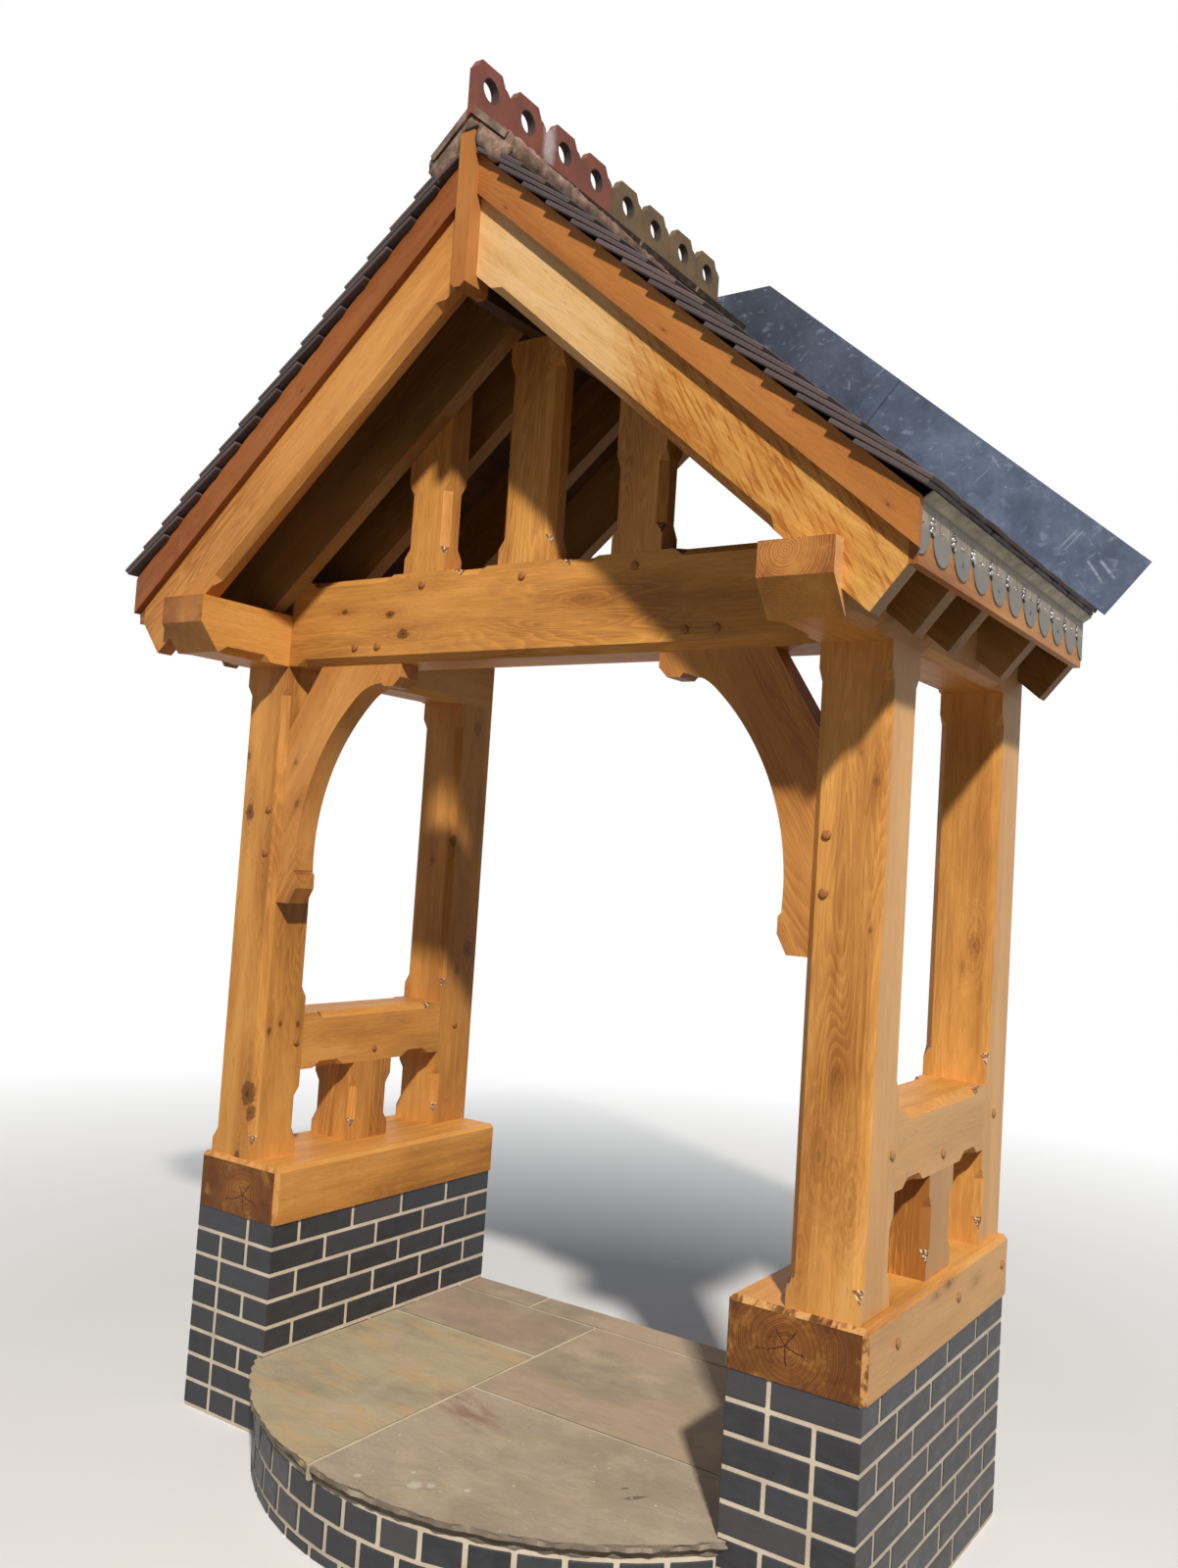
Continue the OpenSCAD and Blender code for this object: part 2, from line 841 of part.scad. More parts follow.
// One side of the flashing, an upstand on the wall with a flange on the tiles
module flashing_side() {
  front_view(lead_t, 0)
    intersection() {
      slope()
        translate([-2 * flash_h, v_top])
          square([eave_s + flash_past + 2 * flash_h, flash_h]);
      translate([lap, 0]) square([2 * eave_x, flash_cap]);
    }
  front_view(flash_flange, 0)
    intersection() {
      slope() translate([-2 * flash_h, v_top]) square([eave_s + 2 * flash_h, lead_t]);
      translate([saddle_x, 0]) square([2 * eave_x, flash_cap]);
    }
  front_view(ridge_end, 0)
    intersection() {
      slope() translate([-2 * v_top, v_top]) square([eave_s, lead_t]);
      translate([lap, 0]) square([saddle_x, flash_cap]);
    }
}

module wall_flashing() {
  color("lightslategray") placed() {
    flashing_side();
    mirror([1, 0, 0]) flashing_side();
  }
}

// Pegs, drawn as their heads standing on the timber faces

module front_peg(x, y, z) {
  translate([x, -y, z]) rotate([90, 0, 0]) cylinder(d = peg_d, h = peg_out, $fn = 32);
}

module side_peg(x, y, z) {
  translate([x, -y, z]) rotate([0, 90, 0]) cylinder(d = peg_d, h = peg_out, $fn = 32);
}

module side_pegs() {
  front_peg(post_inner + peg_edge, frame_y, plate_z - brace_peg_drop);
  front_peg(post_inner + peg_edge, frame_y, plate_z - brace_peg_drop - brace_peg_gap);
  front_peg(post_inner - tie_peg_in, frame_y, plate_z + tie_peg_up);
  front_peg(post_inner - tie_peg_in - tie_peg_gap, frame_y, plate_z + tie_peg_up);
  front_peg(queen_x, frame_y, tie_top - strut_peg_down);
  side_peg(sill_out, frame_y - sill_peg_in, plinth_h + sill_peg_up);
  side_peg(sill_out, mid_y - baulk / 2, plinth_h + sill_peg_up);
  side_peg(sill_out, baulk / 4, plinth_h + sill_peg_up);
  side_peg(post_out, post_back + rail_peg_in, rail_z + baulk / 2);
  side_peg(post_out, mid_y, rail_z + peg_edge);
  side_peg(post_out, baulk - 3 * rail_peg_in, rail_z + baulk / 2);
}

module oak_pegs() {
  color("saddlebrown") placed() {
    side_pegs();
    mirror([1, 0, 0]) side_pegs();
    front_peg(0, frame_y, tie_top - strut_peg_down);
  }
}

// Left and right pairs

module left_plinth() { color("slategray") placed() mirror([1, 0, 0]) plinth(); }
module right_plinth() { color("slategray") placed() plinth(); }
module left_sill() { color("chocolate") placed() mirror([1, 0, 0]) sill(); }
module right_sill() { color("chocolate") placed() sill(); }
module front_left_post() { color("peru") placed() mirror([1, 0, 0]) front_post(); }
module front_right_post() { color("peru") placed() front_post(); }
module rear_left_post() { color("peru") placed() mirror([1, 0, 0]) rear_post(); }
module rear_right_post() { color("peru") placed() rear_post(); }
module left_rail() { color("peru") placed() mirror([1, 0, 0]) rail(); }
module right_rail() { color("peru") placed() rail(); }
module left_stub_post() { color("peru") placed() mirror([1, 0, 0]) stub_post(); }
module right_stub_post() { color("peru") placed() stub_post(); }
module left_wall_plate() { color("peru") placed() mirror([1, 0, 0]) wall_plate(); }
module right_wall_plate() { color("peru") placed() wall_plate(); }
module left_knee_brace() { color("peru") placed() mirror([1, 0, 0]) knee_brace(); }
module right_knee_brace() { color("peru") placed() knee_brace(); }
module left_verge_rafter() { color("burlywood") placed() mirror([1, 0, 0]) verge_rafter(); }
module right_verge_rafter() { color("burlywood") placed() verge_rafter(); }
module left_rafters() { color("sienna") placed() mirror([1, 0, 0]) common_rafters(); }
module right_rafters() { color("sienna") placed() common_rafters(); }
module left_bargeboard() { color("chocolate") placed() mirror([1, 0, 0]) bargeboard(); }
module right_bargeboard() { color("chocolate") placed() bargeboard(); }
module left_fascia() { color("peru") placed() mirror([1, 0, 0]) fascia(); }
module right_fascia() { color("peru") placed() fascia(); }
module left_roof_boards() { color("saddlebrown") placed() mirror([1, 0, 0]) roof_boards(); }
module right_roof_boards() { color("saddlebrown") placed() roof_boards(); }
module left_battens() { color("burlywood") placed() mirror([1, 0, 0]) battens(); }
module right_battens() { color("burlywood") placed() battens(); }
module left_tiles() { color("dimgray") placed() mirror([1, 0, 0]) tiles(); }
module right_tiles() { color("dimgray") placed() tiles(); }
module front_ridge_tiles() { color("indianred") placed() ridge_run(0, front_run - 1); }
module rear_ridge_tiles() { color("darkolivegreen") placed() ridge_run(front_run, ridge_n - 1); }
module left_lead_apron() { color("darkgray") placed() mirror([1, 0, 0]) lead_apron(); }
module right_lead_apron() { color("darkgray") placed() lead_apron(); }

left_plinth();
right_plinth();
step_core();
step_riser();
step_flags();
step_pointing();
left_sill();
right_sill();
front_left_post();
front_right_post();
rear_left_post();
rear_right_post();
left_rail();
right_rail();
left_stub_post();
right_stub_post();
left_wall_plate();
right_wall_plate();
tie_beam();
roof_struts();
left_knee_brace();
right_knee_brace();
left_verge_rafter();
right_verge_rafter();
left_rafters();
right_rafters();
left_bargeboard();
right_bargeboard();
apex_block();
ridge_board();
left_fascia();
right_fascia();
left_roof_boards();
right_roof_boards();
left_battens();
right_battens();
left_tiles();
right_tiles();
front_ridge_tiles();
rear_ridge_tiles();
ridge_bedding();
left_lead_apron();
right_lead_apron();
wall_flashing();
oak_pegs();
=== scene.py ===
# %% [markdown]
# # An oak porch canopy
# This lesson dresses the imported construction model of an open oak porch: brick plinths, a curved
# stone step, a pegged oak frame, a tiled roof, a pierced terracotta ridge and hand-dressed lead.
# The construction model is loaded as a fixed frame. Timbers keep their exact shape and only get
# a finish. Bricks, flags, tiles, lead and mortar are built here as pieces of their own.

# %% Load the construction model
import math
import random
import bmesh
import bpy
from mathutils import Euler, Matrix, Vector, noise


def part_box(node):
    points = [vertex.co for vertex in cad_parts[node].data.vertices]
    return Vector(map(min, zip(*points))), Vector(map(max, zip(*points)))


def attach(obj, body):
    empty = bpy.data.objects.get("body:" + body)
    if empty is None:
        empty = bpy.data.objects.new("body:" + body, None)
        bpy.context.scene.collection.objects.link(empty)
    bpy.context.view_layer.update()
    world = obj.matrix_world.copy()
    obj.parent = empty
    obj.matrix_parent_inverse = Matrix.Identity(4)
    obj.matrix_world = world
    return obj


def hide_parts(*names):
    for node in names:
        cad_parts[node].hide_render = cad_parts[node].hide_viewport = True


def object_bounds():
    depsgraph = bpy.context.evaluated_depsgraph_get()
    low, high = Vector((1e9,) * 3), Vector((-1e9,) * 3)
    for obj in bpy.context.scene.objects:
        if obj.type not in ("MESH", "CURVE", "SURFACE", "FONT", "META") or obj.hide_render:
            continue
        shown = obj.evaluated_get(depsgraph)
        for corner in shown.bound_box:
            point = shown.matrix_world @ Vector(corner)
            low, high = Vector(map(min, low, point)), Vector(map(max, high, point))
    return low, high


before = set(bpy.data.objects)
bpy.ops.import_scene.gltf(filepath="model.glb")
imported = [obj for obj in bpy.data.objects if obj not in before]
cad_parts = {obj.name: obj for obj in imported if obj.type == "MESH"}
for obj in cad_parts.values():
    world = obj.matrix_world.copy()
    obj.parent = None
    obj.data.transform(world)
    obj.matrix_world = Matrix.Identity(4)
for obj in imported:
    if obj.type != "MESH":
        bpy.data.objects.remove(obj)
cad_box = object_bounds()
print("construction model:", len(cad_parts), "nodes, box", cad_box)

# %% [markdown]
# ## Shared sizes
# Everything is in metres. The porch is cut off at a plane at the back, and a depth such as
# `front(0.5)` is read from that plane forwards. The roof is described on its slope: `s` runs down
# from the ridge line and `v` stands square to the rafters, so a tile can be laid with two numbers.

# %% Shared sizes
WALL_Y = cad_box[1][1]
PITCH = math.radians(40)
POST_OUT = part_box("front_right_post")[1].x
PLATE_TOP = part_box("right_wall_plate")[1].z
SEAT = 0.122
SOFFIT = PLATE_TOP + math.tan(PITCH) * (POST_OUT - SEAT)
TILE_BED = 0.237
TILE_THICK = 0.012
TILE_LENGTH = 0.265
TILE_WIDTH = 0.165
GAUGE = 0.100
TILE_TOP = TILE_BED + TILE_THICK * (1 + TILE_LENGTH / GAUGE)
TILE_FRONT = WALL_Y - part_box("right_tiles")[0].y
EAVE_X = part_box("right_tiles")[1].x


def front(depth):
    """Row Y of a point that stands this far in front of the plane at the back."""
    return WALL_Y - depth


def on_slope(s, v, side=1):
    """X and Z of a point on the right (side 1) or left (side -1) slope."""
    x = s * math.cos(PITCH) + v * math.sin(PITCH)
    z = SOFFIT - s * math.sin(PITCH) + v * math.cos(PITCH)
    return side * x, z


EAVE_S = (EAVE_X - TILE_TOP * math.sin(PITCH)) / math.cos(PITCH)
print("eaves at x", round(EAVE_X, 3), "slope length", round(EAVE_S, 3))

# %% [markdown]
# ## Small helpers
# A shader is a chain of nodes. Here an outlet of a node is held as a `Wire`, and arithmetic on wires
# adds the nodes that do it: `grain * 0.4 + 0.1` is a Multiply node and an Add node. `group` wraps a
# chain that several finishes share, with named sockets, so that each can turn it up or down.

# %% Wires
class Wire:
    """An outlet of a shader node that can stand in plain arithmetic."""

    def __init__(self, socket):
        self.socket = socket

    def __add__(self, other):
        return maths("ADD", self, other)

    def __sub__(self, other):
        return maths("SUBTRACT", self, other)

    def __rsub__(self, other):
        return maths("SUBTRACT", other, self)

    def __mul__(self, other):
        return maths("MULTIPLY", self, other)

    def __truediv__(self, other):
        return maths("DIVIDE", self, other)

    def __pow__(self, other):
        return maths("POWER", self, other)

    def __rpow__(self, other):
        return maths("POWER", other, self)

    def __abs__(self):
        return maths("ABSOLUTE", self)


def add(tree, kind, wires=None, **settings):
    """Adds a shader node, applies its settings and wires or fills its inputs."""
    made = tree.nodes.new("ShaderNode" + kind)
    for name, value in settings.items():
        setattr(made, name, value)
    for socket, value in (wires or {}).items():
        if isinstance(value, Wire):
            tree.links.new(value.socket, made.inputs[socket])
        else:
            made.inputs[socket].default_value = value
    return made


def chained(kind, wires, outlet=0, **settings):
    """Adds a node to the tree of its first wire and returns one of its outlets."""
    tree = next(value.socket.id_data for value in wires.values() if isinstance(value, Wire))
    return Wire(add(tree, kind, wires, **settings).outputs[outlet])


def feed(wire, node, socket):
    """Links a wire to an input of a node."""
    node.id_data.links.new(wire.socket, node.inputs[socket])


def maths(operation, first, second=0.0):
    """One arithmetic step."""
    return chained("Math", {0: first, 1: second}, operation=operation)


def fract(wire):
    """What stands behind the decimal point."""
    return maths("FRACT", wire)


print("wires ready")

# %% Shader helpers
def blend(factor, first, second, mode="MIX"):
    """Mixes two colours. A colour that isn't a wire is red, green and blue."""
    first, second = (c if isinstance(c, Wire) else (*c, 1) for c in (first, second))
    return chained("Mix", {0: factor, 6: first, 7: second}, 2, data_type="RGBA", blend_type=mode)


def spread(value, low, high, to_low=0.0, to_high=1.0):
    """Stretches a value from one range to another and clamps it."""
    return chained("MapRange", {0: value, 1: low, 2: high, 3: to_low, 4: to_high})


def tinted(colour, value, low, high, amount, tint, mode="MIX"):
    """The colour, tinted by up to an amount where a value rises from low to high."""
    return blend(spread(value, low, high, 0.0, amount), colour, tint, mode)


def ramp(factor, stops):
    """A colour ramp with stops given as (place, colour)."""
    made = chained("ValToRGB", {0: factor})
    scale = made.socket.node.color_ramp.elements
    for element, (place, colour) in zip(scale, (stops[0], stops[-1])):
        element.position = place
        element.color = (*colour, 1)
    for place, colour in stops[1:-1]:
        scale.new(place).color = (*colour, 1)
    return made


def stretched(vector, scale):
    """The vector times a scale for each axis."""
    return chained("VectorMath", {0: vector, 1: scale}, operation="MULTIPLY")


def noise_at(vector, scale, detail=3.0, rough=0.55):
    """Value of a noise texture. Its scale is one number, or one for each axis."""
    if isinstance(scale, tuple):
        vector, scale = stretched(vector, scale), 1.0
    return chained("TexNoise", {"Vector": vector, "Scale": scale, "Detail": detail, "Roughness": rough})


def seen_from(place, point):
    """The way from a point to the place."""
    return chained("VectorMath", {0: place, 1: point}, operation="SUBTRACT")


def moved_by(place, way):
    """The place moved by a vector."""
    return chained("VectorMath", {0: place, 1: way})


def scaled(vector, factor):
    """The vector times one factor."""
    return chained("VectorMath", {0: vector, "Scale": factor}, operation="SCALE")


def dotted(vector, way):
    """How far the vector reaches along a way."""
    return chained("VectorMath", {0: vector, 1: way}, "Value", operation="DOT_PRODUCT")


def length_of(vector):
    """How long a vector is."""
    return chained("VectorMath", {0: vector}, "Value", operation="LENGTH")


def turned(vector, turn, axis=None):
    """The vector turned by three angles, or by one about a named axis."""
    if axis:
        return chained("VectorRotate", {"Vector": vector, "Angle": turn}, rotation_type=axis + "_AXIS")
    return chained("VectorRotate", {"Vector": vector, "Rotation": turn}, rotation_type="EULER_XYZ")


def parts_of(vector):
    """The X, Y and Z of a vector."""
    first = chained("SeparateXYZ", {0: vector})
    return [Wire(socket) for socket in first.socket.node.outputs]


def combined(x, y=0.0, z=0.0):
    """A vector from its parts."""
    return chained("CombineXYZ", {0: x, 1: y, 2: z})


def group(name, inputs, outputs):
    """A shader node group with named sockets: what it is given and the node to feed."""
    tree = bpy.data.node_groups.new(name, "ShaderNodeTree")
    for label, start in inputs.items():
        kind = "NodeSocketVector" if start is None else "NodeSocketFloat"
        socket = tree.interface.new_socket(name=label, in_out="INPUT", socket_type=kind)
        if start is not None:
            socket.default_value = start
    for label in outputs:
        tree.interface.new_socket(name=label, in_out="OUTPUT", socket_type="NodeSocketFloat")
    enter = tree.nodes.new("NodeGroupInput")
    return {socket.name: Wire(socket) for socket in enter.outputs}, tree.nodes.new("NodeGroupOutput")


def use(name, wires):
    """Places a node group in a finish and returns its outlets by name."""
    made = add(wires["Vector"].socket.id_data, "Group", wires, node_tree=bpy.data.node_groups[name])
    return {socket.name: Wire(socket) for socket in made.outputs}


def finish_of(name, roughness=0.6, metallic=0.0):
    """An empty finish: the material, its shader and the place on the object."""
    made = bpy.data.materials.new(name)
    made.use_nodes = True
    shader = made.node_tree.nodes["Principled BSDF"]
    shader.inputs["Roughness"].default_value = roughness
    shader.inputs["Metallic"].default_value = metallic
    return made, shader, Wire(add(made.node_tree, "TexCoord").outputs["Object"])


def normal_of(shader):
    """The way the surface faces."""
    return Wire(add(shader.id_data, "NewGeometry").outputs["Normal"])


def tone_of(shader):
    """The tone that a piece keeps on its points."""
    return Wire(add(shader.id_data, "Attribute", attribute_name="tone").outputs["Fac"])


def bumped(shader, height, strength, distance):
    """Raises the surface by a height in metres."""
    feed(chained("Bump", {"Height": height, "Strength": strength, "Distance": distance}), shader, "Normal")


def mark_at(place, centre, size, stretch, turn, ragged):
    """A mask that is 1 on a ragged mark round a point and 0 away from it."""
    off = turned(seen_from(place, centre), turn, "Z")
    far = length_of(stretched(off, stretch))
    rough = noise_at(place, 1.6 / size, 5.0, 0.7)
    far = far + (rough - 0.5) * (2.0 * ragged * size)
    return spread(far, size * 0.7, size * 1.1, 1.0, 0.0)


def stroke(place, start, end, width):
    """A mask that is 1 on a straight stroke between two points given as (x, z)."""
    along = Vector((end[0] - start[0], 0, end[1] - start[1]))
    length = along.length
    along /= length
    off = seen_from(place, (start[0], 0, start[1]))
    run = dotted(off, along)
    aside = dotted(off, Vector((-along.z, 0, along.x)))
    mask = spread(abs(aside), width * 0.4, width, 1.0, 0.0) * spread(run, 0.0, length * 0.1)
    return mask * spread(run, length * 0.8, length, 1.0, 0.0)


print("shader helpers ready")

# %% Mesh helpers
def piece(name, bm, finish, replaced=(), smooth=False):
    """Turns a bmesh into a piece that rides on the porch."""
    mesh = bpy.data.meshes.new(name)
    bm.to_mesh(mesh)
    bm.free()
    if smooth:
        mesh.shade_smooth()
    mesh.materials.append(finish)
    made = bpy.data.objects.new(name, mesh)
    bpy.context.scene.collection.objects.link(made)
    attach(made, "root")
    if replaced:
        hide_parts(*replaced)
    return made


def eased(target, width, segments=2, angle=30):
    """Rounds the sharp edges of a piece by a small width."""
    bevel = target.modifiers.new("eased edges", "BEVEL")
    bevel.width = width
    bevel.segments = segments
    bevel.limit_method = "ANGLE"
    bevel.angle_limit = math.radians(angle)


def block(bm, low, high, tone=0.5, turn=None):
    """Adds a box between two corners and keeps its tone on its points."""
    layer = bm.verts.layers.float.get("tone") or bm.verts.layers.float.new("tone")
    centre = (Vector(low) + Vector(high)) / 2
    size = Vector(high) - Vector(low)
    made = bmesh.ops.create_cube(bm, size=1.0)["verts"]
    bmesh.ops.scale(bm, vec=size, verts=made)
    if turn is not None:
        bmesh.ops.rotate(bm, matrix=turn, verts=made)
    bmesh.ops.translate(bm, vec=centre, verts=made)
    for vert in made:
        vert[layer] = tone


def loft(bm, rings):
    """Skins a row of closed rings of points, one to the next, and caps both ends."""
    for near, far in zip(rings, rings[1:]):
        for corner in range(len(near)):
            after = (corner + 1) % len(near)
            bm.faces.new((near[corner], near[after], far[after], far[corner]))
    bm.faces.new(list(reversed(rings[0])))
    bm.faces.new(rings[-1])


def own_tone(rnd, variety):
    """The tone of one brick or tile, from dark 0 to pale 1."""
    return min(1.0, max(0.0, rnd.gauss(0.45, variety)))


print("mesh helpers ready")

# %% [markdown]
# ## Oak
# A baulk is sawn from one stem, so its figure is a set of growth rings round a pith. The rings
# are worked out in space: distance from the pith, bent a little along the length. Long faces then
# show straight grain, end faces show arcs, and every corner matches, which a flat picture of grain
# could not do. Where a saw runs nearly along the rings they open into flames. These are drawn as
# contour lines of a slow noise that is stretched along the timber, and only in some places.

# %% Growth rings
given, out = group("Growth rings", {"Vector": None, "Bend": 0.0, "Ring Width": 0.005, "Wander": 0.05},
                   ("Rings", "Pores", "Fibre", "Patches", "Flame", "Radius", "Figure"))
slow = stretched(given["Vector"], (4.0, 4.0, 0.9))
wobble = chained("TexNoise", {"Vector": slow, "Scale": 1.0, "Detail": 2.0}, "Color")
wobble = scaled(seen_from(wobble, (0.5, 0.5, 0.5)), given["Wander"])
bent = moved_by(given["Vector"], wobble)
radius = length_of(stretched(bent, (1.0, 1.0, 0.0)))
feed(radius, out, "Radius")
radius = radius + given["Bend"] + noise_at(given["Vector"], (30.0, 30.0, 3.0), 2.0) * 0.004
count = radius / given["Ring Width"]
saw = fract(count + noise_at(combined(count), 0.35, 1.0) * 1.6)
feed(saw * (1.0 - saw ** 9.0), out, "Rings")
dashes = noise_at(given["Vector"], (700.0, 700.0, 26.0), 1.0)
early = spread(saw, 0.0, 0.45, 1.0, 0.35)
feed(spread(dashes, 0.54, 0.68) * early, out, "Pores")
feed(noise_at(given["Vector"], (210.0, 210.0, 4.5), 4.0, 0.7), out, "Fibre")
patches = noise_at(given["Vector"], (4.6, 4.6, 1.1), 5.0, 0.58)
streaks = noise_at(given["Vector"], (34.0, 34.0, 1.7), 4.0, 0.6)
feed(patches * 0.78 + streaks * 0.22, out, "Patches")
field = noise_at(bent, (7.5, 7.5, 0.85), 2.5, 0.45) + given["Bend"] * 2.0
contour = fract(field * 40.0)
line = contour * (1.0 - contour ** 7.0)
bold = fract(field * 19.0)
feed(bold * (1.0 - bold ** 6.0), out, "Figure")
where_seen = noise_at(given["Vector"], (3.6, 3.6, 0.8), 2.0)
feed(line * spread(where_seen, 0.44, 0.60), out, "Flame")
print("group", out.id_data.name, "with", len(out.id_data.nodes), "nodes")

# %% [markdown]
# A knot is a branch that ran out of the pith. The grain swings round it, so a soft dark shade is
# drawn out along the timber on both sides. The heart is brown with a darker bark line round it and
# a small open crack. The point and the knot are both given along the grain of the timber.

# %% Knots
MARKS = {"Bend": 0.0, "Shade": 0.0, "Heart": 0.0, "Crack": 0.0}
given, out = group("Knot", {"Vector": None, "Centre": None, "Size": 0.02, "Darkness": 1.0, **MARKS}, MARKS)
away = seen_from(given["Vector"], given["Centre"])
ragged = noise_at(given["Vector"], 75.0, 3.0)
share = length_of(stretched(away, (1.0, 1.0, 0.72))) / given["Size"]
share = share + (ragged - 0.5) * 0.9
long_share = length_of(stretched(away, (1.0, 1.0, 0.30))) / given["Size"]
halo = 2.718 ** (long_share * long_share * -0.55)
push = halo * given["Size"] * 0.9
feed(given["Bend"] + push, out, "Bend")
streaks = noise_at(given["Vector"], (160.0, 160.0, 12.0), 3.0)
eddy = fract((long_share + ragged * 0.5) * 2.4)
eddy = eddy ** 2.0 * (1.0 - eddy ** 12.0)
shade = halo * (spread(streaks, 0.30, 0.62, 0.15, 0.65) + eddy * 0.75)
feed(maths("MAXIMUM", given["Shade"], shade), out, "Shade")
heart = spread(share, 0.50, 0.80, 1.0, 0.0) * given["Darkness"]
feed(maths("MAXIMUM", given["Heart"], heart), out, "Heart")
bark = spread(share, 0.50, 0.66) * spread(share, 0.66, 0.86, 1.0, 0.0)
crack = maths("MAXIMUM", bark * 0.65, spread(share, 0.08, 0.20, 1.0, 0.0)) * given["Darkness"]
feed(maths("MAXIMUM", given["Crack"], crack), out, "Crack")
print("group", out.id_data.name, "with", len(out.id_data.nodes), "nodes")

# %% [markdown]
# Cut ends drink more oil, so they are dark brown with paler rings. They also dry out first and open
# in a star of cracks. The group measures the angle round the pith, folds it into five arms and
# keeps a thin line in each, whose length differs from arm to arm.

# %% Drying cracks
given, out = group("Star check", {"Vector": None, "Reach": 0.07}, ("Crack",))
part = parts_of(given["Vector"])
angle = maths("ARCTAN2", part[1], part[0])
wave = noise_at(stretched(given["Vector"], (1.0, 1.0, 0.0)), 38.0, 3.0)
turns = angle * (5.0 / (2 * math.pi)) + wave * 0.55
arm = abs(fract(turns) - 0.5)
out_from = length_of(stretched(given["Vector"], (1.0, 1.0, 0.0)))
off_line = arm * out_from
arm_length = chained("TexWhiteNoise", {"W": maths("FLOOR", turns)}, "Value", noise_dimensions="1D")
arm_length = given["Reach"] * (arm_length * 0.6 + 0.5)
near_pith = spread(out_from / arm_length, 0.75, 1.0, 1.0, 0.0)
feed(spread(off_line, 0.0005, 0.0016, 1.0, 0.0) * near_pith, out, "Crack")
print("group", out.id_data.name, "with", len(out.id_data.nodes), "nodes")

# %% [markdown]
# The oak is oiled, so it is a warm honey with a low sheen. `oak` builds one finish for a timber:
# `along` turns the rings to the way the timber runs, `pith` places the heart, and the knots are
# given in row metres. The faces that look to the right are paled with painted sunlight, which
# stands in for the sun that falls on that side. `foot` gives the lower end of a verge rafter long
# slanted strands, and `star` gives the cut ends of a sill their wide rings and a star of cracks.

# %% Oak finish
HONEY = [(0.78, 0.400, 0.110), (0.66, 0.298, 0.068), (0.36, 0.143, 0.030)]
PALE = [(0.78, 0.520, 0.265), (0.70, 0.425, 0.175), (0.43, 0.175, 0.042)]
RUSSET = [(0.50, 0.205, 0.050), (0.42, 0.155, 0.034), (0.26, 0.080, 0.016)]
BRIGHT = [(0.84, 0.455, 0.145), (0.73, 0.350, 0.088), (0.39, 0.155, 0.034)]
AMBER = [(0.70, 0.335, 0.095), (0.58, 0.250, 0.062), (0.33, 0.120, 0.028)]
TAWNY = [(0.62, 0.315, 0.105), (0.52, 0.235, 0.070), (0.31, 0.115, 0.030)]
DEEP_RUSSET = [(0.38, 0.130, 0.036), (0.31, 0.098, 0.026), (0.19, 0.054, 0.013)]
GOLD_ENDS = [(0.20, (0.600, 0.270, 0.080)), (0.50, (0.430, 0.165, 0.040)), (0.85, (0.230, 0.070, 0.020))]
# Pale beige cut ends for the rafter feet: partly paler wood, partly painted light bounced up from the
# ground onto cut faces that look down.
PALE_AND_BOUNCE_LIT_ENDS = [(0.20, (0.560, 0.400, 0.230)), (0.50, (0.440, 0.290, 0.150)), (0.85, (0.270, 0.150, 0.065))]
DARK_ENDS = [(0.20, (0.420, 0.175, 0.050)), (0.50, (0.245, 0.085, 0.020)), (0.85, (0.110, 0.034, 0.009))]
STOP_SHADE_AND_GLINT = [(0.48, (0.075, 0.026, 0.010)), (0.56, (0.240, 0.110, 0.045)), (0.63, (0.700, 0.560, 0.420))]
SCUFFED = [(0.36, (0.030, 0.011, 0.005)), (0.44, (0.200, 0.080, 0.026)), (0.53, (0.640, 0.345, 0.130))]
STRAND_LEAN = (0, math.radians(-20), 0)
ALONG = {"x": (0, -math.pi / 2, 0), "y": (math.pi / 2, 0, 0), "z": (0, 0, 0)}


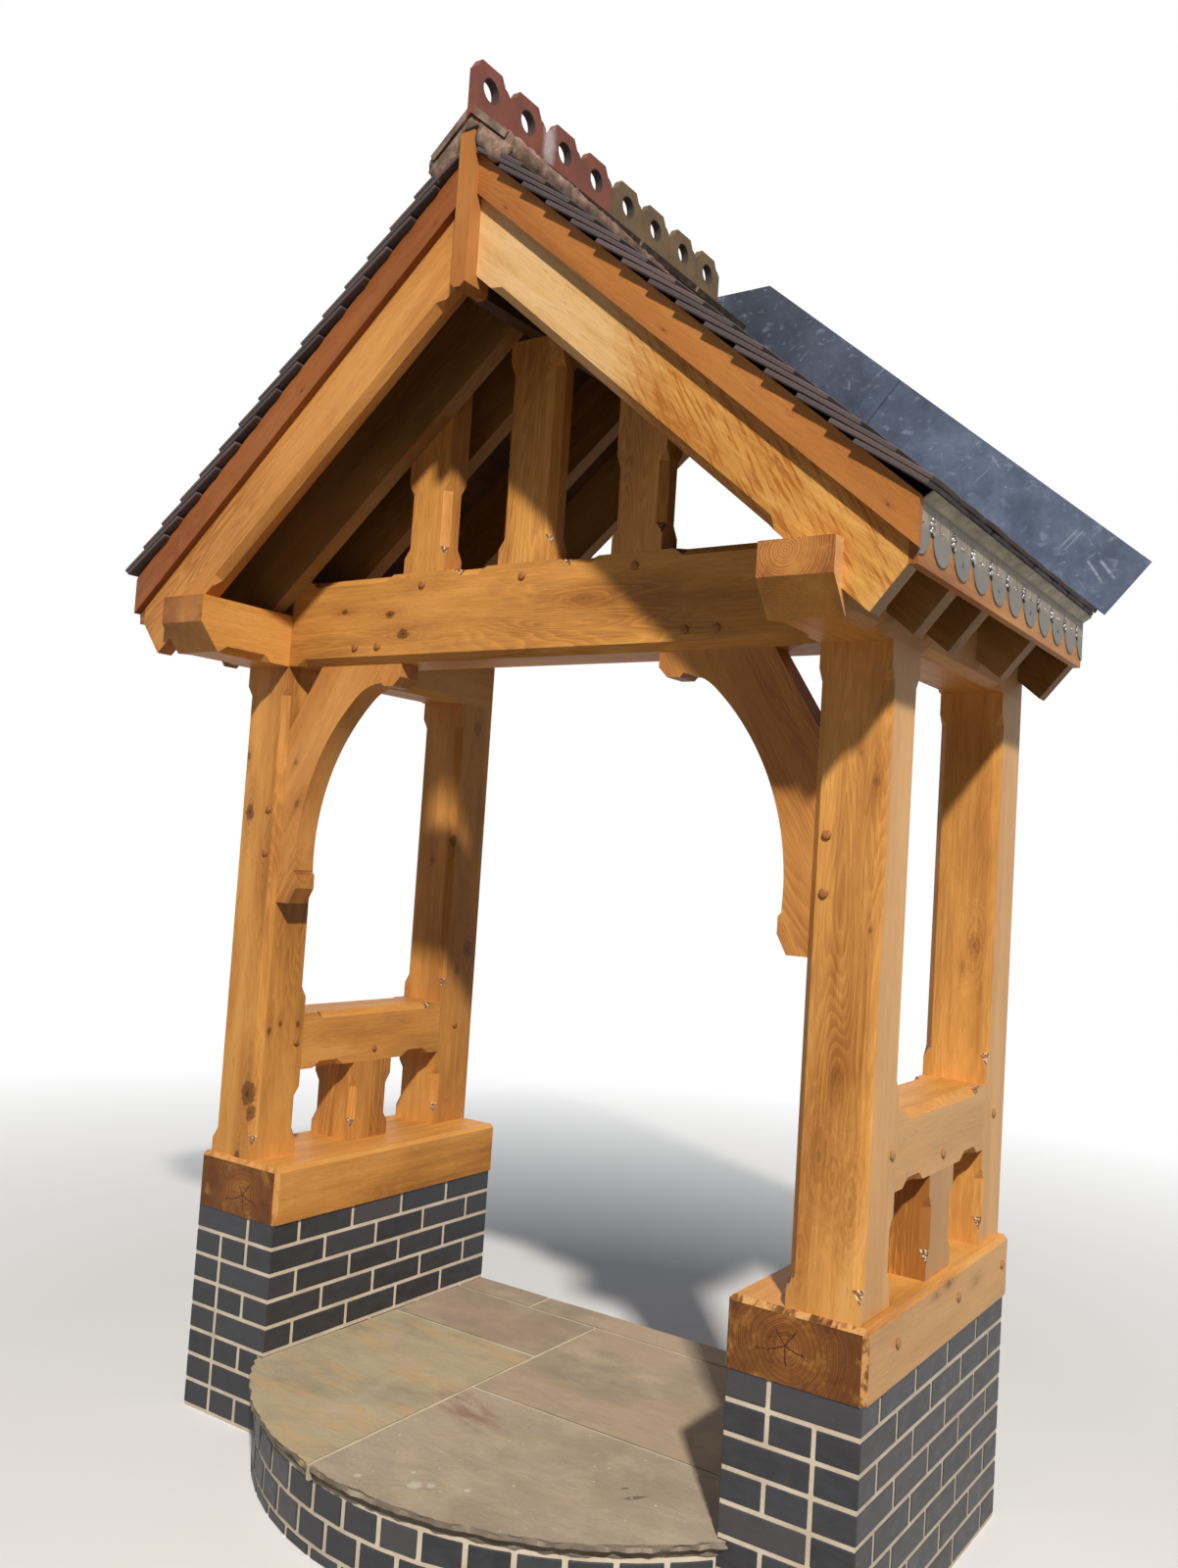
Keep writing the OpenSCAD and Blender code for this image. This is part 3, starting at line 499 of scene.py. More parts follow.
def oak(name, along, pith, tones=HONEY, knots=(), ring=0.005, shift=0.0, gloss=0.50, flame=0.4,
        painted_sun=0.0, wide=1.0, ends=GOLD_ENDS, star=0.0, lines=0.14, foot=None, marks=0.80):
    """An oiled oak finish whose rings run along the timber."""
    finish, shader, place = finish_of(name, gloss)
    shader.inputs["Specular IOR Level"].default_value = 0.22
    turn = ALONG[along] if isinstance(along, str) else along
    local = moved_by(turned(seen_from(place, pith), turn), (0, 0, shift))
    found = MARKS
    for centre, size, darkness in knots:
        spot = Euler(turn).to_matrix() @ (Vector(centre) - Vector(pith)) + Vector((0, 0, shift))
        found = use("Knot", {"Vector": local, "Centre": spot, "Size": size, "Darkness": darkness, **found})
    grain = use("Growth rings", {"Vector": local, "Bend": found["Bend"], "Ring Width": ring})
    soft = spread(grain["Patches"], 0.38, 0.63) * (0.74 * wide) + grain["Rings"] * lines
    soft = soft + spread(grain["Fibre"], 0.35, 0.70) * 0.17
    figure = grain["Flame"] * flame
    if foot:
        reach = abs(parts_of(place)[0]) + grain["Patches"] * 0.30
        low_down = spread(reach, foot[0], foot[1])
        figure = figure * spread(low_down, 0.0, 1.0, 0.25, 0.8)
        strands = noise_at(turned(local, STRAND_LEAN), (110.0, 110.0, 9.0), 3.0, 0.6)
        strands = spread(strands, 0.50, 0.66) * spread(grain["Patches"], 0.30, 0.55, 0.45, 1.0)
        strands = strands * 0.70 + grain["Figure"] * 0.16
        figure = figure + strands * low_down
    colour = ramp(soft + figure, [(0.05, tones[0]), (0.42, tones[1]), (1.0, tones[2])])
    colour = blend(grain["Pores"] * 0.40, colour, (0.42, 0.24, 0.12), "MULTIPLY")
    if foot:
        colour = blend(low_down, colour, (0.93, 0.79, 0.47), "MULTIPLY")
    normal = normal_of(shader)
    # Painted sunlight: faces that look to the right are paled, standing in for the sun that falls on them.
    # The darker blots are stains, kept to the same faces.
    if painted_sun:
        sideways = parts_of(normal)[0]
        painted_sunlit_side = spread(sideways, 0.80, 0.96) * spread(grain["Patches"], 0.25, 0.7, painted_sun, painted_sun * 0.6)
        colour = blend(painted_sunlit_side, colour, (0.84, 0.545, 0.285))
        blot = noise_at(local, (9.0, 9.0, 3.2), 4.0, 0.6)
        blot = spread(blot, 0.60, 0.74, 0.0, 0.5) * painted_sunlit_side
        colour = blend(blot, colour, (0.34, 0.225, 0.165))
    if knots:
        shade = tuple(part * less for part, less in zip(tones[2], (0.7, 0.55, 0.6)))
        colour = blend(found["Shade"] * 0.62, colour, shade)
        colour = blend(found["Heart"] * 0.85, colour, (0.150, 0.048, 0.014))
        colour = blend(found["Crack"] * 0.85, colour, (0.030, 0.011, 0.005))
    facing = parts_of(turned(normal, turn))[2]
    cut_end = spread(abs(facing), 0.75, 0.92)
    end_tone = grain["Rings"] * 0.55 + grain["Patches"] * 0.75
    end_tone = end_tone + spread(grain["Radius"], 0.03, 0.15, -0.12, 0.22)
    colour = blend(cut_end * 0.92, colour, ramp(end_tone, ends))
    # Small facets that slope up and out at the chamfer stops get dark and bright specks: painted shade and
    # painted glints, standing in for the sun catching these facets.
    if isinstance(along, str):
        parts = parts_of(normal)
        stop = spread(parts[2], 0.15, 0.28)
        for part in parts[:2]:
            stop = stop * spread(abs(part), 0.15, 0.28)
        glint = noise_at(place, 150.0, 2.0)
        fired_tint_and_painted_glint = ramp(glint, STOP_SHADE_AND_GLINT)
        colour = blend(stop * 0.85, colour, fired_tint_and_painted_glint)
    soaked = noise_at(stretched(local, (1.0, 1.0, 0.2)), 17.0, 4.0, 0.62)
    gilt = spread(soaked, 0.46, 0.30, 0.0, 0.65) * cut_end
    colour = blend(gilt, colour, (0.560, 0.270, 0.065))
    dark = spread(soaked, 0.54, 0.70, 0.0, 0.80 if star else 0.45) * cut_end
    colour = blend(dark, colour, (0.075, 0.024, 0.008))
    depth_of_check = 0.0
    if star:
        faces = parts_of(normal)
        arris = spread(abs(faces[1] + 0.70), 0.25, 0.40, 1.0, 0.0)
        arris = arris * spread(maths("MAXIMUM", faces[2], abs(faces[0])), 0.30, 0.45)
        dashes = noise_at(place, (48.0, 8.0, 26.0), 3.0, 0.6)
        marked = ramp(dashes, SCUFFED)
        colour = blend(arris * marks, colour, marked)
        hoops = fract((grain["Radius"] + soaked * 0.006) * 74.0)
        hoops = spread(hoops, 0.30, 0.80) * spread(hoops, 0.86, 1.0, 1.0, 0.0)
        colour = blend(hoops * cut_end * 0.40, colour, (0.100, 0.034, 0.010))
        check = use("Star check", {"Vector": local, "Reach": star})["Crack"] * cut_end
        colour = blend(check * 0.92, colour, (0.022, 0.008, 0.004))
        depth_of_check = check * 3.0
    feed(colour, shader, "Base Color")
    feed(grain["Fibre"] * 0.22 + (gloss - 0.10), shader, "Roughness")
    bumped(shader, grain["Fibre"] * 0.3 - grain["Pores"] - depth_of_check, 0.5, 0.0012)
    return finish


print("oak finish ready, tones", len(HONEY))

# %% [markdown]
# ## The timbers
# The baulks keep the exact shape of the construction model. Each gets its own rings, because two
# timbers never come from the same place in a tree. A bevel of two millimetres eases the arrises,
# as a hand plane does. The knots stand where this porch has them.

# %% Finish the posts, rails and sills
def dressed(node, finish):
    """Gives a node of the construction model its finish."""
    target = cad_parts[node]
    target.data.materials.clear()
    target.data.materials.append(finish)
    return target


def timber(node, finish, ease=0.0022):
    """Gives a timber its finish and its eased arrises."""
    eased(dressed(node, finish), ease)


def middle(node):
    """Centre of a node in row metres."""
    low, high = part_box(node)
    return (low + high) / 2


# How strongly painted sunlight pales the right-facing faces of the right-hand timbers.
PAINTED_SUN = 0.62
FACE_Y = -0.3005
REAR_Y = 0.525
INNER_X = 0.8775
SILL_X = 1.0805
BRACE_Y = -0.2805
BOARD_Y = -0.6205
STAR_REACH = 0.085
POST_KNOTS = {
    "front_left_post": [((-1.001, FACE_Y, 1.804), 0.024, 1.0), ((-1.026, FACE_Y, 1.978), 0.012, 0.8),
                        ((-0.912, FACE_Y, 0.956), 0.034, 1.0), ((-0.896, FACE_Y, 0.900), 0.022, 0.9),
                        ((-0.938, FACE_Y, 0.768), 0.013, 1.0), ((-INNER_X, -0.150, 1.159), 0.010, 1.0),
                        ((-INNER_X, -0.223, 1.164), 0.010, 1.0), ((-INNER_X, -0.267, 1.146), 0.012, 0.8)],
    "rear_left_post": [((-INNER_X, 0.628, 2.174), 0.026, 0.6), ((-INNER_X, 0.654, 1.372), 0.032, 0.7),
                       ((-INNER_X, 0.600, 1.300), 0.018, 0.5), ((-INNER_X, 0.535, 1.760), 0.020, 0.8),
                       ((-0.964, REAR_Y, 1.687), 0.014, 0.5)],
    "front_right_post": [((1.030, FACE_Y, 1.940), 0.011, 0.45), ((0.990, FACE_Y, 2.003), 0.008, 0.3),
                         ((1.032, FACE_Y, 1.611), 0.006, 0.6), ((0.970, FACE_Y, 1.282), 0.020, 0.30),
                         ((0.938, FACE_Y, 1.107), 0.034, 0.12), ((1.017, FACE_Y, 1.016), 0.028, 0.0),
                         ((0.975, FACE_Y, 1.062), 0.026, 0.0), ((0.905, FACE_Y, 0.880), 0.024, 0.0)],
    "rear_right_post": [((1.005, REAR_Y, 1.559), 0.024, 0.30), ((0.975, REAR_Y, 1.500), 0.010, 0.2)],
}
OFFSETS = {
    "front_left_post": (0.030, 0.120), "rear_left_post": (-0.040, 0.135),
    "front_right_post": (-0.035, 0.130), "rear_right_post": (0.050, 0.140),
    "left_stub_post": (0.02, 0.03), "right_stub_post": (-0.05, 0.06),
}
for number, (node, offset) in enumerate(OFFSETS.items()):
    heart = middle(node) + Vector((offset[0], offset[1], 0))
    pale = PAINTED_SUN if "right" in node else 0.0
    tones = BRIGHT if node in ("front_right_post", "rear_right_post") else HONEY
    made = oak(f"oak_{node}", "z", heart, tones, POST_KNOTS.get(node, ()), 0.0046 + 0.0006 * (number % 3),
               number * 3.1, flame=0.36, painted_sun=pale, lines=0.55 if "stub" in node else 0.14)
    timber(node, made)
print("upright timbers:", len(OFFSETS))

LONG_TIMBERS = {
    "left_rail": (0.03, 0.04), "right_rail": (-0.03, -0.05),
    "left_sill": (0.03, -0.02), "right_sill": (-0.021, 0.001),
    "left_wall_plate": (0.04, 0.05), "right_wall_plate": (-0.03, 0.06),
}
LONG_KNOTS = {
    "right_sill": [((SILL_X, 0.205, 0.742), 0.013, 0.5), ((SILL_X, 0.120, 0.735), 0.010, 0.3),
                   ((SILL_X, 0.430, 0.700), 0.014, 0.2)],
}
for number, (node, offset) in enumerate(LONG_TIMBERS.items()):
    heart = middle(node) + Vector((offset[0], 0, offset[1]))
    pale = PAINTED_SUN if "right" in node else 0.0
    sill = "sill" in node
    made = oak(f"oak_{node}", "y", heart, HONEY, LONG_KNOTS.get(node, ()), 0.0050 + 0.0006 * (number % 3),
               5 + number * 2.3, flame=0.30, painted_sun=pale, ends=DARK_ENDS if sill else GOLD_ENDS,
               star=STAR_REACH if sill else 0.0, marks=0.80 if pale else 0.35)
    timber(node, made)
print("long timbers:", len(LONG_TIMBERS))

# %% Finish the truss
beam_heart = middle("tie_beam") + Vector((0, 0.13, 0.06))
beam_knots = [((-0.418, FACE_Y, 2.335), 0.020, 1.0), ((-0.473, FACE_Y, 2.395), 0.015, 0.95),
              ((-0.656, FACE_Y, 2.411), 0.010, 1.0), ((0.205, FACE_Y, 2.400), 0.022, 0.15)]
timber("tie_beam", oak("oak_tie_beam", "x", beam_heart, HONEY, beam_knots, 0.0055, 4.0, flame=0.45))
timber("roof_struts", oak("oak_struts", "z", Vector((0.04, -0.18, 2.8)), HONEY, (), 0.005, 7.0, flame=0.5))
BRACE_KNOTS = {"left": [((-0.818, BRACE_Y, 1.838), 0.012, 0.7), ((-0.836, BRACE_Y, 1.963), 0.010, 0.5)],
               "right": []}
for side, word in ((-1, "left"), (1, "right")):
    node = f"{word}_knee_brace"
    lean = (0, side * math.radians(30), 0)
    heart = middle(node) + Vector((side * 0.10, 0.10, 0))
    timber(node, oak(f"oak_{node}", lean, heart, AMBER, BRACE_KNOTS[word], 0.0055, 2.0 + side, flame=0.7))
block_heart = Vector((0.05, -0.50, 3.3))
made = oak("oak_apex_block", "z", block_heart, RUSSET, (), 0.005, 9.0, flame=0.3, painted_sun=0.12)
timber("apex_block", made)
SCREWS = {"left": [((-0.111, BOARD_Y, 3.328), 0.0038, 1.0), ((-0.560, BOARD_Y, 2.960), 0.0038, 1.0)],
          "right": [((0.119, BOARD_Y, 3.317), 0.0038, 1.0), ((0.600, BOARD_Y, 2.920), 0.0038, 1.0),
                    ((1.151, BOARD_Y, 2.465), 0.0038, 1.0)]}
for side, word in ((-1, "left"), (1, "right")):
    lean = (0, side * (-math.pi / 2 - PITCH), 0)
    heart = middle(f"{word}_verge_rafter") + Vector((0, 0.13, -0.06))
    tones, foot = (AMBER, None) if side < 0 else (PALE, (0.56, 0.76))
    verge = oak(f"oak_{word}_verge", lean, heart, tones, (), 0.0065, 3.0 * side, flame=0.9, wide=1.1,
                foot=foot, ends=PALE_AND_BOUNCE_LIT_ENDS)
    timber(f"{word}_verge_rafter", verge)
    board = DEEP_RUSSET if side < 0 else RUSSET
    heart.z += 0.12
    edge = oak(f"oak_{word}_barge", lean, heart, board, SCREWS[word], 0.006, side, flame=0.45)
    timber(f"{word}_bargeboard", edge)
    heart = middle(f"{word}_fascia") + Vector((0.05 * side, 0, 0.1))
    timber(f"{word}_fascia", oak(f"oak_{word}_fascia", "y", heart, TAWNY, (), 0.006, side, flame=0.3))
print("truss and edge boards finished")

# %% [markdown]
# The rafters, boards and battens are out of the sun under the tiles. They are the same wood, so the
# same finish is used with darker colours, which are painted shade, and with less sheen.

# %% Finish the roof timbers
SHADED = [(0.46, 0.260, 0.085), (0.35, 0.180, 0.052), (0.21, 0.095, 0.024)]
BOARDS_PAINTED_SHADE = [(0.120, 0.060, 0.030), (0.085, 0.040, 0.020), (0.050, 0.024, 0.012)]
for side, word in ((-1, "left"), (1, "right")):
    lean = (0, side * (-math.pi / 2 - PITCH), 0)
    heart = middle(f"{word}_rafters") + Vector((0, 0, -0.1))
    made = oak(f"oak_{word}_rafters", lean, heart, SHADED, (), 0.006, side, 0.6, ends=PALE_AND_BOUNCE_LIT_ENDS)
    timber(f"{word}_rafters", made)
    timber(f"{word}_roof_boards", oak(f"boards_{word}", "y", heart, BOARDS_PAINTED_SHADE, (), 0.006, side, 0.7), 0.001)
    timber(f"{word}_battens", oak(f"battens_{word}", "y", heart, SHADED, (), 0.006, side, 0.7), 0.001)
timber("ridge_board", oak("ridge_wood", "y", middle("ridge_board"), BOARDS_PAINTED_SHADE, (), 0.006, 1.0, 0.6))
print("roof timbers finished")

# %% [markdown]
# ## Oak pegs
# Each joint is pinned with a cleft peg, driven in and left a little proud. A cleft peg isn't a
# perfect round: it is whittled, so each head has eight soft flats, a domed end and its own size.
# The pegs of the side joints go right through the posts, so their ends show on the inner faces too.

# %% Peg heads
PEG_DEPTH = 0.006
peg_tones, shader, place = finish_of("peg_oak", 0.6)
shader.inputs["Specular IOR Level"].default_value = 0.22
streaks = noise_at(place, (160.0, 160.0, 160.0), 3.0)
oiled = ramp(streaks, [(0.3, (0.27, 0.095, 0.030)), (0.7, (0.46, 0.19, 0.062))])
# Pegs on the outermost right faces turn paler: painted sunlight on the side the sun falls on.
sideways = parts_of(normal_of(shader))[0]
painted_sunlit_peg = ramp(streaks, [(0.3, (0.29, 0.155, 0.070)), (0.7, (0.50, 0.305, 0.150))])
outermost = spread(parts_of(place)[0], 0.95, 1.00)
painted_sunlit_side = spread(sideways, 0.25, 0.60) * outermost
feed(blend(painted_sunlit_side, oiled, painted_sunlit_peg), shader, "Base Color")
bumped(shader, streaks, 0.6, 0.001)


def islands_of(mesh):
    """Corner boxes of the separate solids in a mesh."""
    bm = bmesh.new()
    bm.from_mesh(mesh)
    bmesh.ops.remove_doubles(bm, verts=bm.verts, dist=1e-5)
    seen = set()
    boxes = []
    for start in bm.verts:
        if start in seen:
            continue
        todo = [start]
        seen.add(start)
        found = []
        while todo:
            vert = todo.pop()
            found.append(vert.co.copy())
            for edge in vert.link_edges:
                other = edge.other_vert(vert)
                if other not in seen:
                    seen.add(other)
                    todo.append(other)
        low = Vector([min(c[i] for c in found) for i in range(3)])
        high = Vector([max(c[i] for c in found) for i in range(3)])
        boxes.append((low, high))
    bm.free()
    return boxes


random.seed(11)
bm = bmesh.new()
heads = []
through = []
for low, high in islands_of(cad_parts["oak_pegs"].data):
    centre = (low + high) / 2
    size = high - low
    to_front = size.y < size.x
    outward = Vector((0, -1, 0)) if to_front else Vector((math.copysign(1, centre.x), 0, 0))
    radius = (size.x if to_front else size.y) / 2
    heads.append((centre - outward * PEG_DEPTH / 2, outward, radius))
    if not to_front and centre.z > 1.0:
        inside = Vector((math.copysign(INNER_X, centre.x), centre.y, centre.z))
        through.append((inside, -outward, radius * 0.92))
for base, outward, radius in heads + through:
    turn = outward.to_track_quat("Z", "Y").to_matrix().to_4x4()
    spin = Matrix.Rotation(random.uniform(0, math.pi), 4, "Z")
    rings = [(1.0, 0.0), (1.0, 0.45), (0.90, 0.80), (0.55, 1.0)]
    facets = [random.uniform(0.92, 1.0) for _ in range(8)]
    loops = []
    for share, rise in rings:
        loop = []
        for number in range(16):
            angle = number * math.pi / 8
            wide = radius * share * (facets[number // 2] if number % 2 else 0.97)
            spot = Vector((wide * math.cos(angle), wide * math.sin(angle), rise * PEG_DEPTH))
            loop.append(bm.verts.new(base + turn @ spin @ spot))
        loops.append(loop)
    loft(bm, loops)
piece("peg_heads", bm, peg_tones, ["oak_pegs"], True)
print("peg heads:", len(heads), "and ends that come through:", len(through))

# %% [markdown]
# ## Brickwork
# The plinths are laid in blue engineering bricks, 215 by 102.5 by 65 mm, with 10 mm joints. So one
# course rises 75 mm. On the sides the bond runs in stretchers, half a brick out each course. On
# the front a stretcher beside a header takes turns with three headers, and the top course turns
# that pair round. Every brick is a body of its own with softened edges and its own tone, standing
# in a core of mortar that lies a little back.

# %% Brick and mortar finishes
BRICK = Vector((0.215, 0.1025, 0.065))
JOINT = 0.010
COURSE = BRICK.z + JOINT
RECESS = 0.002
BRICK_VARIETY = 0.22

brick_blue, shader, place = finish_of("blue_brick", 0.42)
tone = tone_of(shader)
colour = ramp(tone, [(0.0, (0.014, 0.014, 0.017)), (0.45, (0.025, 0.026, 0.031)),
                     (0.8, (0.037, 0.038, 0.045)), (1.0, (0.062, 0.055, 0.058))])
cloud = noise_at(stretched(place, (1.0, 1.0, 2.2)), 19.0, 4.0, 0.6)
colour = tinted(colour, cloud, 0.38, 0.78, 0.5, (0.064, 0.067, 0.079))
fired_tint_and_painted_glint = noise_at(place, 9.0, 3.0, 0.6)
colour = tinted(colour, fired_tint_and_painted_glint, 0.56, 0.74, 0.6, (0.030, 0.026, 0.030))
speck = noise_at(place, 420.0, 2.0)
colour = tinted(colour, speck, 0.64, 0.76, 0.7, (0.010, 0.011, 0.015))
feed(colour, shader, "Base Color")
feed(spread(cloud, 0.3, 0.7, 0.36, 0.56), shader, "Roughness")
bumped(shader, noise_at(place, 130.0, 4.0) + speck * 0.4, 0.35, 0.002)


def sandy(name, light, deep, grit=700.0):
    """A finish for mortar and pointing: sand grains in a pale binder."""
    finish, shader, place = finish_of(name, 0.9)
    broad = noise_at(place, 14.0, 4.0)
    grain = noise_at(place, grit, 2.0)
    colour = ramp(broad, [(0.3, deep), (0.65, light)])
    colour = tinted(colour, grain, 0.55, 0.75, 0.45, deep, "MULTIPLY")
    feed(colour, shader, "Base Color")
    bumped(shader, grain + broad, 0.5, 0.0015)
    return finish


brick_mortar = sandy("brick_mortar", (0.80, 0.70, 0.55), (0.63, 0.53, 0.40))
print("brick", tuple(BRICK), "course", COURSE)

# %% Lay the plinths
def lay_plinth(word, side):
    """Bricks and mortar core of one plinth, side 1 on the right."""
    low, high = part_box(f"{word}_plinth")
    width = high.x - low.x
    depth = high.y - low.y
    rnd = random.Random(40 + side)
    bricks = bmesh.new()

    def lay(x0, x1, y0, y1, z):
        """x from the doorway side, y from the front face."""
        a = low.x + x0 if side > 0 else high.x - x1
        b = low.x + x1 if side > 0 else high.x - x0
        tone = own_tone(rnd, BRICK_VARIETY)
        lean = Matrix.Rotation(rnd.gauss(0, 0.0016), 3, "X")
        lean = lean @ Matrix.Rotation(rnd.gauss(0, 0.0012), 3, "Z")
        block(bricks, (a, low.y + y0, z), (b, low.y + y1, z + BRICK.z), tone, lean)

    long, short = BRICK.x, BRICK.y
    courses = round((high.z - low.z) / COURSE)
    for course in range(courses):
        z = low.z + course * COURSE + JOINT
        if course % 2 == 0:
            start = long
            lay(0, short, 0, long, z)
            lay(short + JOINT, 2 * short + JOINT, 0, long, z)
            lay(width - short, width, 0, long, z)
        else:
            start = short
            split = short if course == courses - 1 else long
            lay(0, split, 0, short, z)
            lay(split + JOINT, width, 0, short, z)
        lay(short + JOINT, width - short - JOINT, depth - short, depth, z)
        for x0, x1 in ((0, short), (width - short, width)):
            y = start + JOINT
            while y < depth - 0.02:
                last = y + long + JOINT > depth - 0.02
                lay(x0, x1, y, depth if last else y + long, z)
                y += long + JOINT
    for vert in bricks.verts:
        vert.co.y = min(vert.co.y, high.y)
    made = piece(f"{word}_plinth_bricks", bricks, brick_blue, [f"{word}_plinth"])
    eased(made, 0.0035, 2)
    core = bmesh.new()
    inset = Vector((RECESS, RECESS, 0))
    block(core, low + inset, high - inset)
    piece(f"{word}_plinth_mortar", core, brick_mortar)
    return len(made.data.polygons) // 6


for word, side in (("left", -1), ("right", 1)):
    print(word, "plinth bricks:", lay_plinth(word, side))

# %% [markdown]
# The riser of the step is laid in headers on a curve. The centre of the curve follows from three
# points: its two ends against the plinths and its middle. Each brick turns to face outwards.

# %% Lay the curved riser
riser_low, riser_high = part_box("step_riser")
NOSING = 0.025
RISER_LAP = 0.003
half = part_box("right_plinth")[0].x + RISER_LAP
plinth_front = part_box("right_plinth")[0].y
bulge = plinth_front - riser_low.y
RISER_R = (half ** 2 + bulge ** 2) / (2 * bulge)
ARC_Y = riser_low.y + RISER_R
reach = math.asin(half / RISER_R)
count = round(2 * reach * RISER_R / (BRICK.y + JOINT))
step_angle = 2 * reach / count
rnd = random.Random(5)
bm = bmesh.new()
for z0, z1 in ((0.0, 0.025), (0.035, 0.100), (0.110, 0.175)):
    shift = 0.5 if z0 == 0.035 else 0.0
    for number in range(count + (1 if shift else 0)):
        angle = -reach + (number + 0.5 - shift) * step_angle
        if abs(angle) > reach - 0.3 * step_angle and shift:
            continue
        radius = RISER_R - BRICK.y / 2
        centre = Vector((radius * math.sin(angle), ARC_Y - radius * math.cos(angle), (z0 + z1) / 2))
        size = Vector((BRICK.y - 0.001, BRICK.y, z1 - z0)) / 2
        tone = own_tone(rnd, BRICK_VARIETY)
        block(bm, centre - size, centre + size, tone, Matrix.Rotation(angle, 3, "Z"))
riser = piece("riser_bricks", bm, brick_blue, ["step_riser"])
eased(riser, 0.0035, 2)

bm = bmesh.new()
steps = 64
outer = RISER_R - RECESS
inner = RISER_R - BRICK.y
top = riser_high.z
loops = []
for number in range(steps + 1):
    angle = -reach + 2 * reach * number / steps
    ring = []
    for radius, z in ((outer, 0.0), (outer, top), (inner, top), (inner, 0.0)):
        spot = Vector((radius * math.sin(angle), ARC_Y - radius * math.cos(angle), z))
        spot.y = min(spot.y, plinth_front)
        ring.append(bm.verts.new(spot))
    loops.append(ring)
loft(bm, loops[::-1])
piece("riser_mortar", bm, brick_mortar)
print("riser radius", round(RISER_R, 3), "headers in a course", count)

# %% [markdown]
# ## The stone step
# The flags are riven sandstone. Riven means split, so the top is a set of shallow terraces and the
# edge is chipped. The solid flags are cut into small squares with a row of planes, which keeps the
# joints between them crisp. Noise then moves the points: stepped on the top, ragged on the curve.

# %% Riven sandstone
FLAG_TOP = 0.225
RUST_MARKS = [((0.513, -0.285, FLAG_TOP), 0.030, (1.0, 3.6, 0.0)),
              ((0.470, -0.262, FLAG_TOP), 0.012, (1.0, 2.5, 0.0))]
PALE_SPOTS = [(0.085, -0.585, 0.018), (0.115, -0.562, 0.011), (0.193, -0.520, 0.009),
              (-0.048, -0.640, 0.010), (0.040, -0.540, 0.006), (0.260, -0.430, 0.005)]
sandstone, shader, place = finish_of("riven_sandstone", 0.78)
tone = tone_of(shader)
colour = ramp(tone, [(0.0, (0.470, 0.390, 0.245)), (0.33, (0.390, 0.285, 0.205)),
                     (0.66, (0.470, 0.362, 0.245)), (1.0, (0.455, 0.362, 0.268))])
drawn = stretched(place, (1.0, 1.7, 1.0))
broad = noise_at(drawn, 2.6, 6.0, 0.62)
colour = tinted(colour, broad, 0.46, 0.68, 0.75, (0.265, 0.220, 0.155))
pale = noise_at(place, 4.4, 4.0, 0.6)
colour = tinted(colour, pale, 0.52, 0.72, 0.6, (0.580, 0.470, 0.325))
gold = noise_at(stretched(place, (1.3, 4.5, 1.0)), 3.2, 4.0, 0.6)
gold = spread(gold, 0.50, 0.66, 0.0, 0.75) * spread(tone, 0.05, 0.30, 1.0, 0.12)
colour = blend(gold, colour, (0.560, 0.385, 0.190))
streaks = turned(place, 0.31, "Z")
rust = noise_at(stretched(streaks, (1.0, 4.0, 1.0)), 7.5, 5.0, 0.65)
off = seen_from(streaks, (-0.043, -0.196, FLAG_TOP))
far = length_of(stretched(off, (1.0, 2.6, 0.0)))
rust = spread(rust, 0.38, 0.62) * spread(far, 0.07, 0.22, 0.80, 0.08)
colour = blend(rust, colour, (0.250, 0.135, 0.095))
for centre, size, flat in RUST_MARKS:
    colour = blend(mark_at(place, centre, size, flat, -0.9, 0.9) * 0.75, colour, (0.085, 0.055, 0.038))
for x, y, size in PALE_SPOTS:
    spot = mark_at(place, (x, y, FLAG_TOP), size, (1.0, 1.0, 0.0), 0.0, 1.1)
    colour = blend(spot * 0.6, colour, (0.680, 0.640, 0.540))
spots = chained("TexVoronoi", {"Vector": place, "Scale": 26.0}, "Distance")
spots = spots + noise_at(place, 60.0, 2.0) * 0.16
spots = spread(spots, 0.14, 0.20, 1.0, 0.0) * spread(tone, 0.75, 0.9)
colour = blend(spots * 0.75, colour, (0.560, 0.530, 0.460))
grit = noise_at(place, 480.0, 3.0)
colour = tinted(colour, grit, 0.52, 0.8, 0.45, (0.12, 0.10, 0.08), "MULTIPLY")
# Faces that don't look up, the chipped edge of the nosing among them, are darkened: painted shade.
lip = parts_of(normal_of(shader))[2]
colour = blend(spread(lip, 0.25, 0.75, 0.75, 0.0), colour, (0.150, 0.120, 0.090))
feed(colour, shader, "Base Color")
layers = noise_at(drawn, 5.5, 5.0, 0.55) * 9.0
steps = maths("FLOOR", layers) + spread(fract(layers), 0.80, 1.0)
bumped(shader, steps * 0.75 + grit * 0.30, 0.6, 0.0016)

# %% Split and roughen the flags
flag_low, flag_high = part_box("step_flags")
bm = bmesh.new()
bm.from_mesh(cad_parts["step_flags"].data)
bmesh.ops.remove_doubles(bm, verts=bm.verts, dist=1e-5)
bmesh.ops.dissolve_limit(bm, angle_limit=0.01, verts=bm.verts, edges=bm.edges)
CELL = 0.016
cuts = [((1, 0, 0), flag_low.x, flag_high.x, CELL), ((0, 1, 0), flag_low.y, flag_high.y, CELL),
        ((0, 0, 1), flag_low.z, flag_high.z, 0.008)]
for axis, start, end, size in cuts:
    axis = Vector(axis)
    for number in range(1, int((end - start) / size) + 1):
        cut_at = axis * (start + number * size - 0.0007)
        everything = bm.verts[:] + bm.edges[:] + bm.faces[:]
        bmesh.ops.bisect_plane(bm, geom=everything, plane_co=cut_at, plane_no=axis, dist=1e-5)
layer = bm.verts.layers.float.new("tone")
arc_r = RISER_R + NOSING
